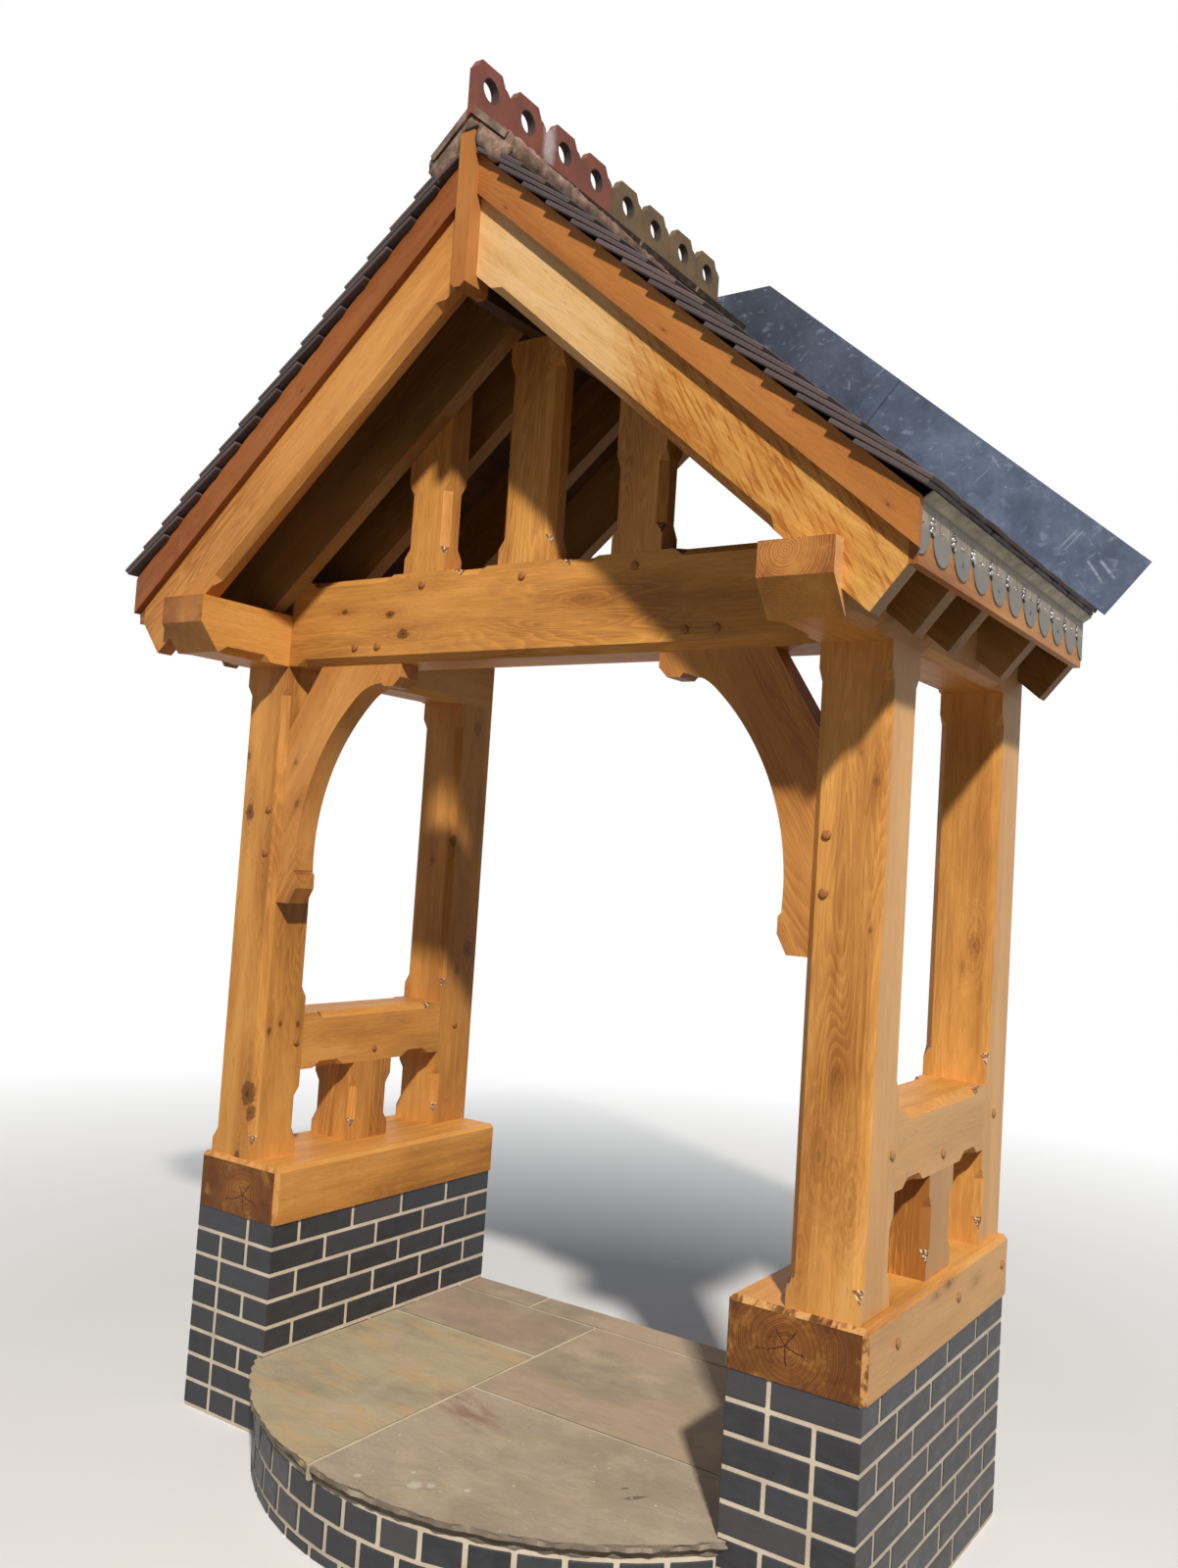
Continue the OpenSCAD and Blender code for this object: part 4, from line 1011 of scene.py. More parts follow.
for vert in bm.verts:
    place_xy = Vector((vert.co.x, vert.co.y - ARC_Y))
    depth = WALL_Y - vert.co.y
    if depth < 0.122:
        vert[layer] = 0.40 if vert.co.x < -0.448 else 0.62
    elif vert.co.x < -0.177:
        vert[layer] = 0.0 if depth > 0.45 else 0.36
    else:
        vert[layer] = 1.0 if depth > 0.75 else 0.55
    terrace = noise.noise(vert.co * 3.1) + 0.5 * noise.noise(vert.co * 8.0)
    stepped = math.floor(terrace * 4.0) / 4.0 * 0.7 + terrace * 0.3
    if vert.co.z > flag_high.z - 0.004:
        vert.co.z -= 0.0022 + 0.0020 * stepped
    radius = place_xy.length
    if vert.co.z < flag_high.z - 0.030 and arc_r - 0.080 < radius <= arc_r - 0.010 and depth > 1.0:
        place_xy *= (radius - 0.024 * (radius - arc_r + 0.080) / 0.070) / radius
        vert.co.x = place_xy.x
        vert.co.y = place_xy.y + ARC_Y
    elif radius > arc_r - 0.010 and depth > 1.0:
        flake = noise.noise(Vector((vert.co.x * 36, vert.co.y * 36, vert.co.z * 130)))
        undercut = (flag_high.z - vert.co.z) / (flag_high.z - flag_low.z)
        bite = 0.4 + noise.noise(vert.co * 14.0) + 1.3 * flake + 1.7 * undercut
        if undercut > 0.5:
            bite += 2.6 + 0.8 * noise.noise(vert.co * 20.0)
        if vert.co.z > flag_high.z - 0.010:
            bite += 0.7 + noise.noise(vert.co * 30.0)
        place_xy *= (radius - max(0.0, bite) * 0.0055) / radius
        vert.co.x = place_xy.x
        vert.co.y = place_xy.y + ARC_Y
flags = piece("riven_flags", bm, sandstone, ["step_flags"])
eased(flags, 0.0022, 2, 50)
print("flags:", len(flags.data.polygons), "faces")

# %% Pointing and bed
pointing = sandy("pale_pointing", (0.74, 0.65, 0.49), (0.56, 0.47, 0.34))
bed = sandy("step_bed", (0.38, 0.36, 0.33), (0.27, 0.25, 0.23), 300.0)
dressed("step_pointing", pointing)
dressed("step_core", bed)
print("pointing and bed finished")

# %% [markdown]
# ## Plain tiles
# Plain tiles are small clay tiles, 265 by 165 mm, laid so that only 100 mm of each shows. Each
# leans a little, because its tail stands on the course below. A tile is cambered along and across,
# and no two sit alike. Courses are laid half a tile out, with tile-and-a-halves at the verge.

# %% Tile finish
clay, shader, place = finish_of("plain_tile_clay", 0.72)
tone = tone_of(shader)
colour = ramp(tone, [(0.0, (0.040, 0.029, 0.030)), (0.5, (0.066, 0.046, 0.046)),
                     (1.0, (0.105, 0.066, 0.060))])
broad = noise_at(place, 9.0, 5.0, 0.65)
colour = tinted(colour, broad, 0.45, 0.75, 0.5, (0.115, 0.085, 0.082))
grit = noise_at(place, 520.0, 2.0)
colour = tinted(colour, grit, 0.56, 0.75, 0.5, (0.016, 0.012, 0.012))
feed(colour, shader, "Base Color")
feed(spread(broad, 0.3, 0.7, 0.60, 0.85), shader, "Roughness")
bumped(shader, grit, 0.45, 0.0014)

# %% Lay the tiles
TILE_GAP = 0.002
TILE_VARIETY = 0.25
RIDGE_SLOT = 0.0265


def lay_tile(bm, layer, side, s_tail, length, y0, y1, drop, rnd):
    """One cambered tile, its tail at s_tail and its length running up the slope."""
    tone = own_tone(rnd, TILE_VARIETY)
    twist = rnd.gauss(0, 0.0035)
    lift = abs(rnd.gauss(0, 0.0007))
    columns = 4
    rows = 4
    top = []
    under = []
    for row in range(rows + 1):
        up = row / rows
        line_top = []
        line_under = []
        for column in range(columns + 1):
            across = column / columns
            y = y0 + (y1 - y0) * across
            s = s_tail - length * up + twist * (across - 0.5) * 0.5
            camber = 0.0016 * (1 - (2 * across - 1) ** 2) + 0.0014 * (1 - (2 * up - 1) ** 2)
            v = TILE_TOP - drop - 0.0020 + camber + lift * (1 - up) - (s_tail - s) * TILE_THICK / GAUGE
            x, z = on_slope(s, v, side)
            xu, zu = on_slope(s, v - TILE_THICK + 0.001, side)
            line_top.append(bm.verts.new((x, y, z)))
            line_under.append(bm.verts.new((xu, y, zu)))
        top.append(line_top)
        under.append(line_under)
    for line in top + under:
        for vert in line:
            vert[layer] = tone
    faces = []
    for row in range(rows):
        for column in range(columns):
            after = column + 1
            faces.append((top[row][column], top[row][after], top[row + 1][after], top[row + 1][column]))
            low_edge = (under[row][column], under[row + 1][column])
            faces.append((*low_edge, under[row + 1][after], under[row][after]))
        faces.append((top[row][0], top[row + 1][0], under[row + 1][0], under[row][0]))
        faces.append((top[row][-1], under[row][-1], under[row + 1][-1], top[row + 1][-1]))
    for column in range(columns):
        faces.append((top[0][column], under[0][column], under[0][column + 1], top[0][column + 1]))
        faces.append((top[-1][column], top[-1][column + 1], under[-1][column + 1], under[-1][column]))
    for corners in faces:
        bm.faces.new(corners)


def lay_slope(word, side):
    """All the courses of one slope."""
    rnd = random.Random(90 + side)
    bm = bmesh.new()
    layer = bm.verts.layers.float.new("tone")
    head = (RIDGE_SLOT - TILE_TOP * math.sin(PITCH)) / math.cos(PITCH)
    courses = int((EAVE_S - head - 0.03) / GAUGE) + 1
    rows = [(EAVE_S - 0.002, 0.19, TILE_THICK, 1)]
    for course in range(courses):
        s_tail = EAVE_S - course * GAUGE
        rows.append((s_tail, min(TILE_LENGTH, s_tail - head - 0.01), 0.0, course))
    laid = 0
    for s_tail, length, drop, course in rows:
        if length < 0.04:
            continue
        y = front(TILE_FRONT)
        width = TILE_WIDTH * 1.5 if course % 2 else TILE_WIDTH
        while y < WALL_Y - 0.02:
            end = min(y + width, WALL_Y)
            ragged = rnd.gauss(0, 0.0012)
            lay_tile(bm, layer, side, s_tail - abs(ragged), length, y, end - TILE_GAP, drop, rnd)
            laid += 1
            y = end
            width = TILE_WIDTH
    bmesh.ops.recalc_face_normals(bm, faces=bm.faces)
    made = piece(f"{word}_slope_tiles", bm, clay, [f"{word}_tiles"])
    eased(made, 0.0018, 1, 40)
    return laid


for word, side in (("left", -1), ("right", 1)):
    print(word, "slope tiles:", lay_slope(word, side))

# %% [markdown]
# ## Ridge
# The four ridge tiles are fired terracotta with a pierced crest. The two in front are red, the two
# behind are olive brown, as if they came from two kilns. The legs that lie on the roof have gone
# grey and green with lichen, while the upright crest keeps its colour, so one mask parts the two by
# the distance from the middle of the ridge. One lobe has a pale stain of lime.

# %% Ridge finish
def terracotta(name, light, deep, bloom, amount, stain=None):
    """Fired clay, with weathered legs and pale bloom on the crest."""
    finish, shader, place = finish_of(name, 0.75)
    body = noise_at(place, 11.0, 5.0, 0.6)
    colour = ramp(body, [(0.3, deep), (0.7, light)])
    runs = noise_at(place, (14.0, 14.0, 5.0), 4.0, 0.7)
    colour = blend(spread(runs, 0.56, 0.72) * amount, colour, bloom)
    if stain:
        centre, size, lime = stain
        off = seen_from(place, centre)
        far = length_of(stretched(off, (0.0, 1.0, 0.40))) + noise_at(place, 30.0, 4.0) * (size * 0.8)
        colour = blend(spread(far, size * 0.7, size * 1.5, 0.85, 0.0), colour, lime)
    aside = abs(parts_of(place)[0])
    leg = spread(aside, 0.0130, 0.0150)
    lichen = noise_at(place, 24.0, 5.0, 0.65)
    crust = ramp(lichen, [(0.30, (0.060, 0.044, 0.032)), (0.50, (0.130, 0.092, 0.062)),
                          (0.60, (0.190, 0.150, 0.100)), (0.72, (0.400, 0.360, 0.300))])
    colour = blend(leg * 0.92, colour, crust)
    part = parts_of(place)
    limed = leg * spread(aside, 0.024, 0.046, 1.0, 0.0)
    limed = limed * spread(part[1], -0.38, -0.10, 1.0, 0.0)
    limed = limed * spread(lichen, 0.40, 0.56, 0.15, 0.85)
    colour = blend(limed, colour, (0.47, 0.39, 0.33))
    ahead = parts_of(normal_of(shader))[1]
    smeared = leg * spread(ahead, -0.7, -0.4, 0.9, 0.0)
    mud = ramp(lichen, [(0.35, (0.110, 0.070, 0.048)), (0.62, (0.300, 0.195, 0.145))])
    colour = blend(smeared, colour, mud)
    # Round each piercing the crest is darkened: painted shade inside the holes.
    back = part[1] + (TILE_FRONT + 0.020 - WALL_Y)
    back = fract(back / RIDGE_STEP) * RIDGE_STEP
    back = abs(back - 2 * HALF_LOBE) - HALF_LOBE
    ring = length_of(combined(back, part[2] - (CREST_TOP - 0.062))) + (lichen - 0.5) * 0.008
    colour = blend(spread(ring, 0.0305, 0.0345, 0.88, 0.0), colour, (0.022, 0.014, 0.012))
    specks = noise_at(place, 260.0, 3.0)
    colour = tinted(colour, specks, 0.58, 0.74, 0.55, deep, "MULTIPLY")
    feed(colour, shader, "Base Color")
    bumped(shader, specks * 0.7 + lichen * 0.8, 0.5, 0.002)
    return finish


CREST_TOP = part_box("front_ridge_tiles")[1].z
RIDGE_STEP = 0.328
HALF_LOBE = 0.079
STAIN = ((0.0, -0.325, 3.66), 0.032, (0.50, 0.42, 0.42))
CLAYS = {
    "red": [(0.205, 0.057, 0.035), (0.110, 0.031, 0.021), (0.28, 0.15, 0.11), 0.30, STAIN],
    "olive": [(0.160, 0.100, 0.044), (0.082, 0.052, 0.024), (0.200, 0.095, 0.042), 0.6],
}
for word, clay_name in (("front", "red"), ("rear", "olive")):
    timber(f"{word}_ridge_tiles", terracotta(f"{clay_name}_terracotta", *CLAYS[clay_name]), 0.003)
print("ridge tiles finished")

# %% [markdown]
# The ridge is bedded on mortar, which fills the hollow at the front end and swells out below the
# legs. The bed is remeshed to an even skin of small faces and made lumpy. The haunch on the visible
# side is swept along the ridge as a run of small rounded sections that shrink towards the back.

# %% Ridge mortar
def evenly_meshed(node, voxel):
    """A new mesh of a node, with an even skin of small faces."""
    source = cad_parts[node]
    copy = bpy.data.objects.new("remesh_" + node, source.data.copy())
    bpy.context.scene.collection.objects.link(copy)
    remesh = copy.modifiers.new("even skin", "REMESH")
    remesh.mode = "VOXEL"
    remesh.voxel_size = voxel
    depsgraph = bpy.context.evaluated_depsgraph_get()
    mesh = bpy.data.meshes.new_from_object(copy.evaluated_get(depsgraph))
    bpy.data.objects.remove(copy)
    return mesh


BLOCK_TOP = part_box("apex_block")[1].z
lime, shader, place = finish_of("ridge_mortar", 0.92)
broad = noise_at(place, 17.0, 5.0, 0.65)
grain = noise_at(place, 350.0, 2.0)
colour = ramp(broad, [(0.32, (0.070, 0.044, 0.031)), (0.46, (0.165, 0.104, 0.074)),
                      (0.58, (0.310, 0.195, 0.145)), (0.70, (0.480, 0.385, 0.320))])
colour = tinted(colour, grain, 0.55, 0.75, 0.45, (0.20, 0.15, 0.12), "MULTIPLY")
part = parts_of(place)
# A dark patch just above the apex block is painted shade, standing in for the shaded hollow under the
# front ridge tile.
painted_hollow_shade = spread(abs(part[0]), 0.026, 0.036, 1.0, 0.0)
painted_hollow_shade = painted_hollow_shade * spread(part[2], BLOCK_TOP + 0.010, BLOCK_TOP + 0.018, 0.9, 0.0)
colour = blend(painted_hollow_shade, colour, (0.012, 0.009, 0.007))
feed(colour, shader, "Base Color")
bumped(shader, grain + broad * 2.0, 0.6, 0.002)
bm = bmesh.new()
bm.from_mesh(evenly_meshed("ridge_bedding", 0.005))
for vert in bm.verts:
    wave = noise.noise(vert.co * 22.0) + 0.5 * noise.noise(vert.co * 60.0)
    vert.co += Vector((0.003 * wave * min(1.0, max(-1.0, vert.co.x * 40)), 0.003 * wave, 0.0015 * wave))
    vert.co.y = min(vert.co.y, WALL_Y)
LEG_S = (0.150 * math.cos(PITCH) - (TILE_TOP + 0.020) * math.sin(PITCH)) / math.cos(PITCH)
SLOT_S = (0.024 - TILE_TOP * math.sin(PITCH)) / math.cos(PITCH)
BED_FRONT = TILE_FRONT - 0.006
for side in (-1, 1):
    sections = []
    for number in range(150):
        depth = BED_FRONT - number * 0.0085
        fade = max(0.0, 1 - number / 130)
        lump = 1 + 0.35 * noise.noise(Vector((side * 3.0, depth * 9.0, 0.4)))
        wide = (0.011 + 0.034 * fade ** 1.5) * lump
        tall = (0.015 + 0.026 * fade) * (0.85 + 0.15 * lump)
        ring = []
        for corner in range(8):
            angle = corner / 7 * math.pi / 2
            fleck = 1 + 0.10 * noise.noise(Vector((depth * 60, corner * 0.9, side)))
            s = LEG_S - 0.008 + wide * math.cos(angle) * fleck
            x, z = on_slope(s, TILE_TOP - 0.010 + (tall + 0.010) * math.sin(angle) * fleck, side)
            ring.append(bm.verts.new((x, front(depth), z)))
        x, z = on_slope(LEG_S - 0.010, TILE_TOP - 0.010, side)
        ring.append(bm.verts.new((x, front(depth), z)))
        sections.append(ring)
    loft(bm, sections)
    smear = []
    for column in range(25):
        s = SLOT_S + (LEG_S + 0.030 - SLOT_S) * column / 24
        ragged = 0.012 * noise.noise(Vector((s * 26.0, side, 0.7)))
        line = []
        for row in range(9):
            share = row / 8
            v = TILE_TOP + 0.014 - (0.052 + ragged) * share
            edge = min(1.0, 5 * share, 5 * (1 - share), column / 3, (24 - column) / 3)
            lumpy = 0.0030 + 0.0035 * noise.noise(Vector((s * 60, v * 60, side)))
            x, z = on_slope(s, v, side)
            line.append(bm.verts.new((x, front(TILE_FRONT - 0.004 + (0.004 + lumpy) * edge), z)))
        behind = []
        for row in (8, 0):
            spot = line[row].co + Vector((0, 0.012, 0))
            behind.append(bm.verts.new(spot))
        smear.append(line + behind)
    loft(bm, smear)
bmesh.ops.recalc_face_normals(bm, faces=bm.faces)
piece("ridge_mortar", bm, lime, ["ridge_bedding"], True)
print("ridge mortar finished")

# %% [markdown]
# ## Lead
# Lead is dressed by hand up the back edge of the roof and over the eaves. The flashing is blue
# grey with pale scratches and brushed strokes from the dressing tools, and a dark seam shows where
# one sheet laps the next. The aprons are older, beige at the lip under the tiles and grey with fine
# rain lines below. The beige is partly the lead's own colour and partly painted light bounced up
# from the ground. The lip darkens with painted shade under the tile edge, and the grey below the
# fold carries a painted shadow of the fold. It is a soft metal, so its highlights are broad.

# %% Flashing finish
BRUSHED = [((1.217, 2.653), (1.264, 2.578), 0.0050, 0.55), ((1.251, 2.651), (1.297, 2.589), 0.0055, 0.60),
           ((1.135, 2.688), (1.197, 2.750), 0.0035, 0.40), ((1.152, 2.683), (1.207, 2.739), 0.0030, 0.35),
           ((0.935, 2.985), (0.962, 2.944), 0.0035, 0.35)]
blue_lead, shader, place = finish_of("blue_lead", 0.45, 0.35)
cloud = noise_at(place, 6.5, 6.0, 0.68)
colour = ramp(cloud, [(0.30, (0.056, 0.072, 0.108)), (0.50, (0.088, 0.116, 0.176)),
                      (0.72, (0.145, 0.182, 0.262))])
lower = abs(parts_of(place)[0])
colour = blend(spread(lower, 0.15, 0.75, 0.72, 0.0), colour, (0.036, 0.040, 0.055))
smudge = noise_at(stretched(place, (1.0, 1.0, 1.6)), 26.0, 4.0, 0.6)
colour = tinted(colour, smudge, 0.58, 0.72, 0.45, (0.30, 0.34, 0.45))
for turn, where in ((0.5, 0.0), (-0.9, 4.0), (0.1, 9.0)):
    rolled = turned(place, turn, "Y")
    fine = stretched(rolled, (150.0, 20.0, 7.0))
    line = noise_at(moved_by(fine, (where, where, where)), 1.0, 1.0)
    where_seen = spread(noise_at(place, 4.0 + where, 2.0), 0.52, 0.62)
    scratch = spread(line, 0.68, 0.78, 0.0, 0.5) * where_seen
    colour = blend(scratch, colour, (0.42, 0.47, 0.60))
folded = combined(lower, 0.0, parts_of(place)[2])
brushed = noise_at(place, 60.0, 3.0)
for start, end, width, strength in BRUSHED:
    drawn = stroke(folded, start, end, width) * spread(brushed, 0.35, 0.60, 0.2, strength)
    colour = blend(drawn, colour, (0.46, 0.50, 0.60))
seam = stroke(folded, (0.660, 3.281), (0.515, 3.109), 0.0022)
colour = blend(seam * 0.85, colour, (0.016, 0.018, 0.026))
dots = chained("TexVoronoi", {"Vector": place, "Scale": 34.0, "Randomness": 1.0}, "Distance")
dots = spread(dots, 0.06, 0.12, 0.7, 0.0) * spread(cloud, 0.48, 0.60)
colour = blend(dots, colour, (0.46, 0.50, 0.60))
feed(colour, shader, "Base Color")
feed(spread(cloud, 0.3, 0.7, 0.36, 0.56), shader, "Roughness")
bumped(shader, noise_at(place, 9.0, 3.0), 0.5, 0.006)
timber("wall_flashing", blue_lead, 0.0008)
PROUD = 0.0013
LAP_TOP = Vector((0.645, 0.697, 3.2574))
DOWN = Vector((-0.643, 0.0, -0.766))
UP_SLOPE = Vector((-0.766, 0.0, 0.643))
LAP_HEIGHT = 0.183
LAP_RUN = 0.22
bm = bmesh.new()
LAP_SECTION = [(0.0, 0.0), (0.0, PROUD), (LAP_RUN * 0.3, PROUD * 0.6), (LAP_RUN, 0.0001), (LAP_RUN, 0.0)]
for side in (-1, 1):
    rows = []
    for number in range(13):
        edge = LAP_TOP + DOWN * LAP_HEIGHT * number / 12
        wander = 0.0012 * noise.noise(edge * 25.0)
        row = []
        for run, rise in LAP_SECTION:
            spot = edge + UP_SLOPE * (run + wander * (run == 0.0)) + Vector((0, -rise, 0))
            row.append(bm.verts.new((spot.x * side, spot.y, spot.z)))
        rows.append(row)
    loft(bm, rows)
bmesh.ops.recalc_face_normals(bm, faces=bm.faces)
piece("flashing_laps", bm, blue_lead)
print("flashing finished")

# %% Apron finish
FASCIA_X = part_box("right_fascia")[1].x
APRON_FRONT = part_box("right_lead_apron")[0].y
FOLD_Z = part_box("right_fascia")[0].z + 0.126
BEAD_Z = FOLD_Z - 0.044
TONGUES = 10
TONGUE_PITCH = (WALL_Y - APRON_FRONT) / TONGUES
pale_lead, shader, place = finish_of("pale_lead", 0.55, 0.15)
high = parts_of(place)[2]
cloud = noise_at(place, 16.0, 5.0, 0.65)
grey = ramp(cloud, [(0.32, (0.230, 0.190, 0.145)), (0.66, (0.390, 0.330, 0.255))])
rain = noise_at(place, (0.0, 105.0, 6.0), 3.0, 0.6)
grey = tinted(grey, rain, 0.50, 0.62, 0.75, (0.105, 0.082, 0.062))
# The beige lip band is partly the lead's own colour and partly made lighter as painted light bounced up
# from the ground.
cloth = noise_at(place, 11.0, 4.0, 0.6)
beige = ramp(cloth, [(0.34, (0.360, 0.300, 0.205)), (0.64, (0.620, 0.540, 0.390))])
# Towards the tile edge the lip darkens: painted shade under the tiles.
painted_shade_under_tiles = spread(high + cloud * 0.05, FOLD_Z + 0.025, FOLD_Z + 0.052, 0.0, 0.8)
beige = blend(painted_shade_under_tiles, beige, (0.080, 0.066, 0.055))
lip = spread(high + cloud * 0.003, FOLD_Z + 0.0005, FOLD_Z + 0.0045)
# Just below the fold the grey darkens: painted shadow of the fold.
painted_fold_shadow = spread(high, FOLD_Z - 0.010, FOLD_Z - 0.001) * spread(lip, 0.0, 1.0, 1.0, 0.0)
grey = blend(painted_fold_shadow * 0.55, grey, (0.085, 0.072, 0.060))
silver = spread(high, BEAD_Z - 0.010, BEAD_Z + 0.004, 1.0, 0.0)
grey = blend(silver, grey, ramp(cloud, [(0.3, (0.150, 0.142, 0.130)), (0.7, (0.240, 0.228, 0.208))]))
colour = blend(lip, grey, beige)
# Each bead cluster gets a dark halo on the lead: painted shade of the beads.
row = fract((parts_of(place)[1] - APRON_FRONT) / TONGUE_PITCH)
row = (row - 0.5) * TONGUE_PITCH
painted_bead_shade = length_of(stretched(combined(row, high - (BEAD_Z + 0.004)), (1.0, 0.75, 0.0)))
colour = blend(spread(painted_bead_shade, 0.012, 0.022, 0.85, 0.0), colour, (0.045, 0.036, 0.030))
feed(colour, shader, "Base Color")
feed(spread(cloud, 0.3, 0.7, 0.45, 0.65), shader, "Roughness")
bumped(shader, noise_at(place, 13.0, 3.0) + rain * 0.1, 0.4, 0.004)
for node in ("left_lead_apron", "right_lead_apron"):
    timber(node, pale_lead, 0.0008)
print("aprons finished, bead line at", round(BEAD_Z, 3))

# %% [markdown]
# Where two tongues meet, the lead was run into a cluster of bright beads, with a few smaller ones
# over the middle of each tongue. Every second tongue has a clout nail. The beads are small spheres
# pressed flat against the lead and pushed out of round, so that none looks machined.

# %% Beads and nails
bright, shader, place = finish_of("bead_lead", 0.30, 0.80)
tarnish = noise_at(place, 90.0, 3.0)
feed(ramp(tarnish, [(0.38, (0.110, 0.105, 0.100)), (0.66, (0.480, 0.475, 0.465))]), shader, "Base Color")
feed(spread(tarnish, 0.3, 0.7, 0.22, 0.42), shader, "Roughness")
bumped(shader, tarnish, 0.3, 0.001)
nail_head, shader, place = finish_of("clout_nail", 0.45, 0.6)
worn = noise_at(place, 160.0, 3.0)
feed(ramp(worn, [(0.35, (0.045, 0.055, 0.085)), (0.65, (0.13, 0.15, 0.20))]), shader, "Base Color")
bumped(shader, worn, 0.4, 0.001)


CLUSTER = [(-0.007, 0.009, 0.0062), (0.006, 0.010, 0.0056), (0.000, 0.000, 0.0070),
           (-0.009, -0.004, 0.0046), (0.008, -0.007, 0.0052), (0.001, 0.019, 0.0042)]


def bead(bm, centre, radius, flat, rnd):
    """A bead pushed out of round and pressed against the lead."""
    made = bmesh.ops.create_icosphere(bm, subdivisions=2, radius=radius)["verts"]
    seed = Vector((rnd.random() * 9, rnd.random() * 9, 0))
    for vert in made:
        vert.co *= 1 + 0.22 * noise.noise(vert.co / radius * 0.9 + seed)
        vert.co.x *= flat
        vert.co += centre


for side, word in ((-1, "left"), (1, "right")):
    rnd = random.Random(60 + side)
    beads = bmesh.new()
    nails = bmesh.new()
    face_x = FASCIA_X + 0.003
    for number in range(TONGUES + 1):
        joint = APRON_FRONT + (number + 0.5) * TONGUE_PITCH
        if number < TONGUES:
            for across, rise, size in CLUSTER:
                y = joint + across + rnd.gauss(0, 0.0008)
                bead(beads, Vector((face_x, y, BEAD_Z + rise + rnd.gauss(0, 0.0008))), size, 0.8, rnd)
        root = APRON_FRONT + number * TONGUE_PITCH
        for across in (-0.012, 0.0, 0.011):
            y = root + across + rnd.gauss(0, 0.001)
            if APRON_FRONT + 0.004 < y < WALL_Y - 0.004:
                bead(beads, Vector((face_x, y, BEAD_Z + 0.004 + rnd.gauss(0, 0.0012))), 0.0036, 0.7, rnd)
        if number % 2 == 0 and 0 < number < TONGUES:
            bead(nails, Vector((face_x, root, BEAD_Z - 0.027)), 0.0068, 0.30, rnd)
    for vert in beads.verts[:] + nails.verts[:]:
        vert.co.x *= side
    for made in (beads, nails):
        bmesh.ops.recalc_face_normals(made, faces=made.faces)
    piece(f"{word}_apron_beads", beads, bright, (), True)
    piece(f"{word}_apron_nails", nails, nail_head, (), True)
print("bead line has", TONGUES, "clusters a side")

# %% [markdown]
# ## Floor, light and camera
# The porch stands on a plain pale floor with an open white surround. The key lamp is small, strong
# and far off at the front right, so that its shadows are as crisp as those of the sun. A wide fill
# keeps the shaded side readable. The camera stands at the viewpoint of the photo, a little tilted.

# %% Floor and surround
def seen_directly(tree):
    """1 for what the camera or a shiny surface sees, 0 for the light that falls on things."""
    path = add(tree, "LightPath").outputs
    seen = maths("MAXIMUM", Wire(path["Is Camera Ray"]), Wire(path["Is Glossy Ray"]))
    return maths("MAXIMUM", seen, Wire(path["Is Transmission Ray"]))


floor_paint, shader, place = finish_of("floor_paint", 0.9)
tree = shader.id_data
seen = seen_directly(tree)
feed(blend(seen, (0.23, 0.215, 0.20), (0.84, 0.84, 0.83)), shader, "Base Color")
away = length_of(stretched(place, (1.0, 1.0, 0.0)))
open_floor = seen * spread(away, 2.0, 6.5)
glow = add(tree, "Emission", {"Color": (1, 1, 1, 1), "Strength": 1.0})
mixed = chained("MixShader", {0: open_floor, 1: Wire(shader.outputs[0]), 2: Wire(glow.outputs[0])})
feed(mixed, tree.nodes["Material Output"], "Surface")
bm = bmesh.new()
bmesh.ops.create_grid(bm, x_segments=1, y_segments=1, size=30.0)
mesh = bpy.data.meshes.new("floor")
bm.to_mesh(mesh)
bm.free()
mesh.materials.append(floor_paint)
floor = bpy.data.objects.new("floor", mesh)
bpy.context.scene.collection.objects.link(floor)

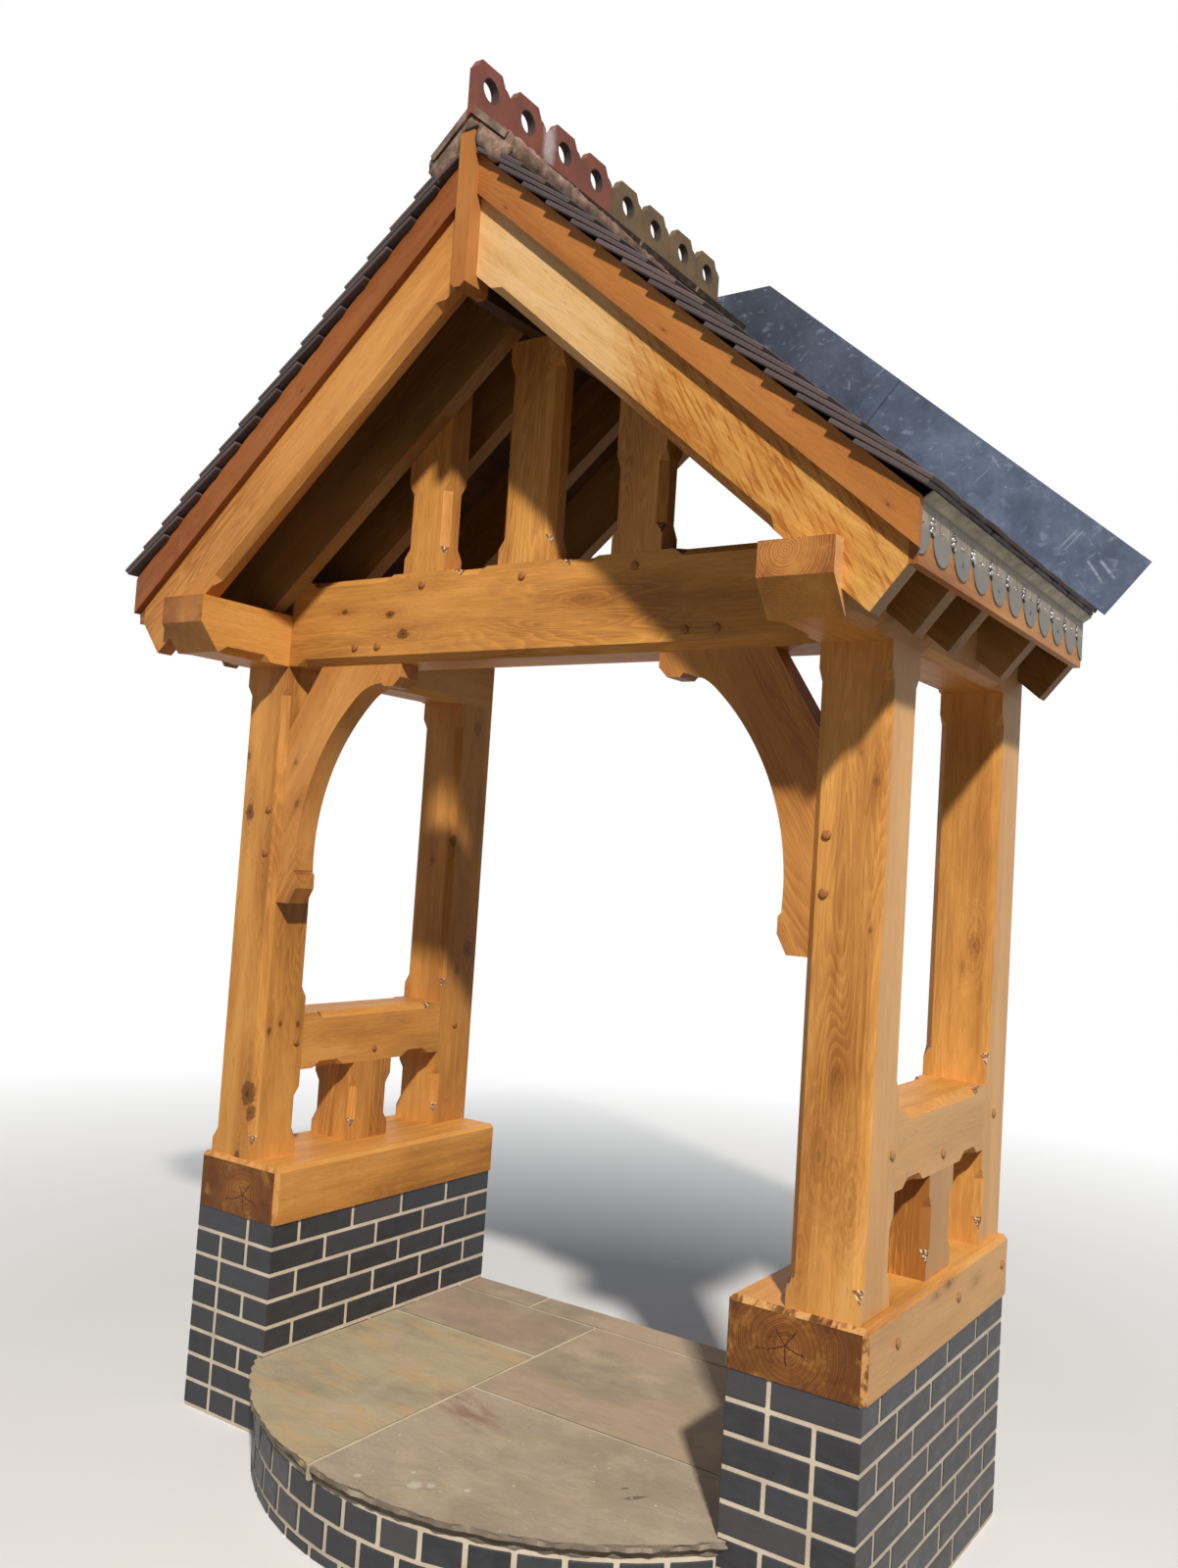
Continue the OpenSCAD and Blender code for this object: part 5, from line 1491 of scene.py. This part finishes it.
world = bpy.data.worlds.new("studio")
bpy.context.scene.world = world
world.use_nodes = True
seen = seen_directly(world.node_tree)
backdrop = world.node_tree.nodes["Background"]
feed(blend(seen, (0.80, 0.87, 1.0), (1.0, 1.0, 1.0)), backdrop, "Color")
feed(spread(seen, 0.0, 1.0, 0.10, 1.0), backdrop, "Strength")
print("floor and surround ready")

# %% Lamps
def lamp(name, place, target, size, power, colour):
    """A square lamp that looks at a point."""
    data = bpy.data.lights.new(name, "AREA")
    data.shape = "SQUARE"
    data.size = size
    data.energy = power
    data.color = colour
    made = bpy.data.objects.new(name, data)
    made.location = place
    made.rotation_euler = (Vector(target) - Vector(place)).to_track_quat("-Z", "Y").to_euler()
    bpy.context.scene.collection.objects.link(made)


lamp("key", (8.3, -9.6, 12.7), (0.3, -0.3, 2.4), 0.7, 3500, (1.0, 0.95, 0.88))
lamp("fill", (-6.0, -5.0, 3.5), (0, 0, 1.6), 5.0, 34, (0.88, 0.93, 1.0))
lamp("top", (0.0, 2.5, 8.0), (0, 0, 2.5), 4.0, 26, (0.92, 0.95, 1.0))
print("lamps:", len(bpy.data.lights))

# %% Camera
EYE = (2.111, -3.014, 1.727)
IMAGE = (1202, 1600)
FOCAL_PIXELS = 1316.6
YAW = math.radians(-34.30)
TILT = math.radians(3.33)
ROLL = math.radians(3.68)
ahead = Vector((math.sin(YAW) * math.cos(TILT), math.cos(YAW) * math.cos(TILT), math.sin(TILT)))
level = Vector((math.cos(YAW), -math.sin(YAW), 0))
upward = level.cross(ahead)
right = math.cos(ROLL) * level + math.sin(ROLL) * upward
above = -math.sin(ROLL) * level + math.cos(ROLL) * upward
data = bpy.data.cameras.new("visitor")
data.sensor_width = 36.0
data.lens = 36.0 * FOCAL_PIXELS / max(IMAGE)
camera = bpy.data.objects.new("visitor", data)
turn = Matrix((right, above, -ahead)).transposed().to_4x4()
camera.matrix_world = Matrix.Translation(EYE) @ turn
bpy.context.scene.collection.objects.link(camera)
bpy.context.scene.camera = camera
bpy.context.scene.view_settings.view_transform = "Standard"
print("lens", round(data.lens, 2), "mm")
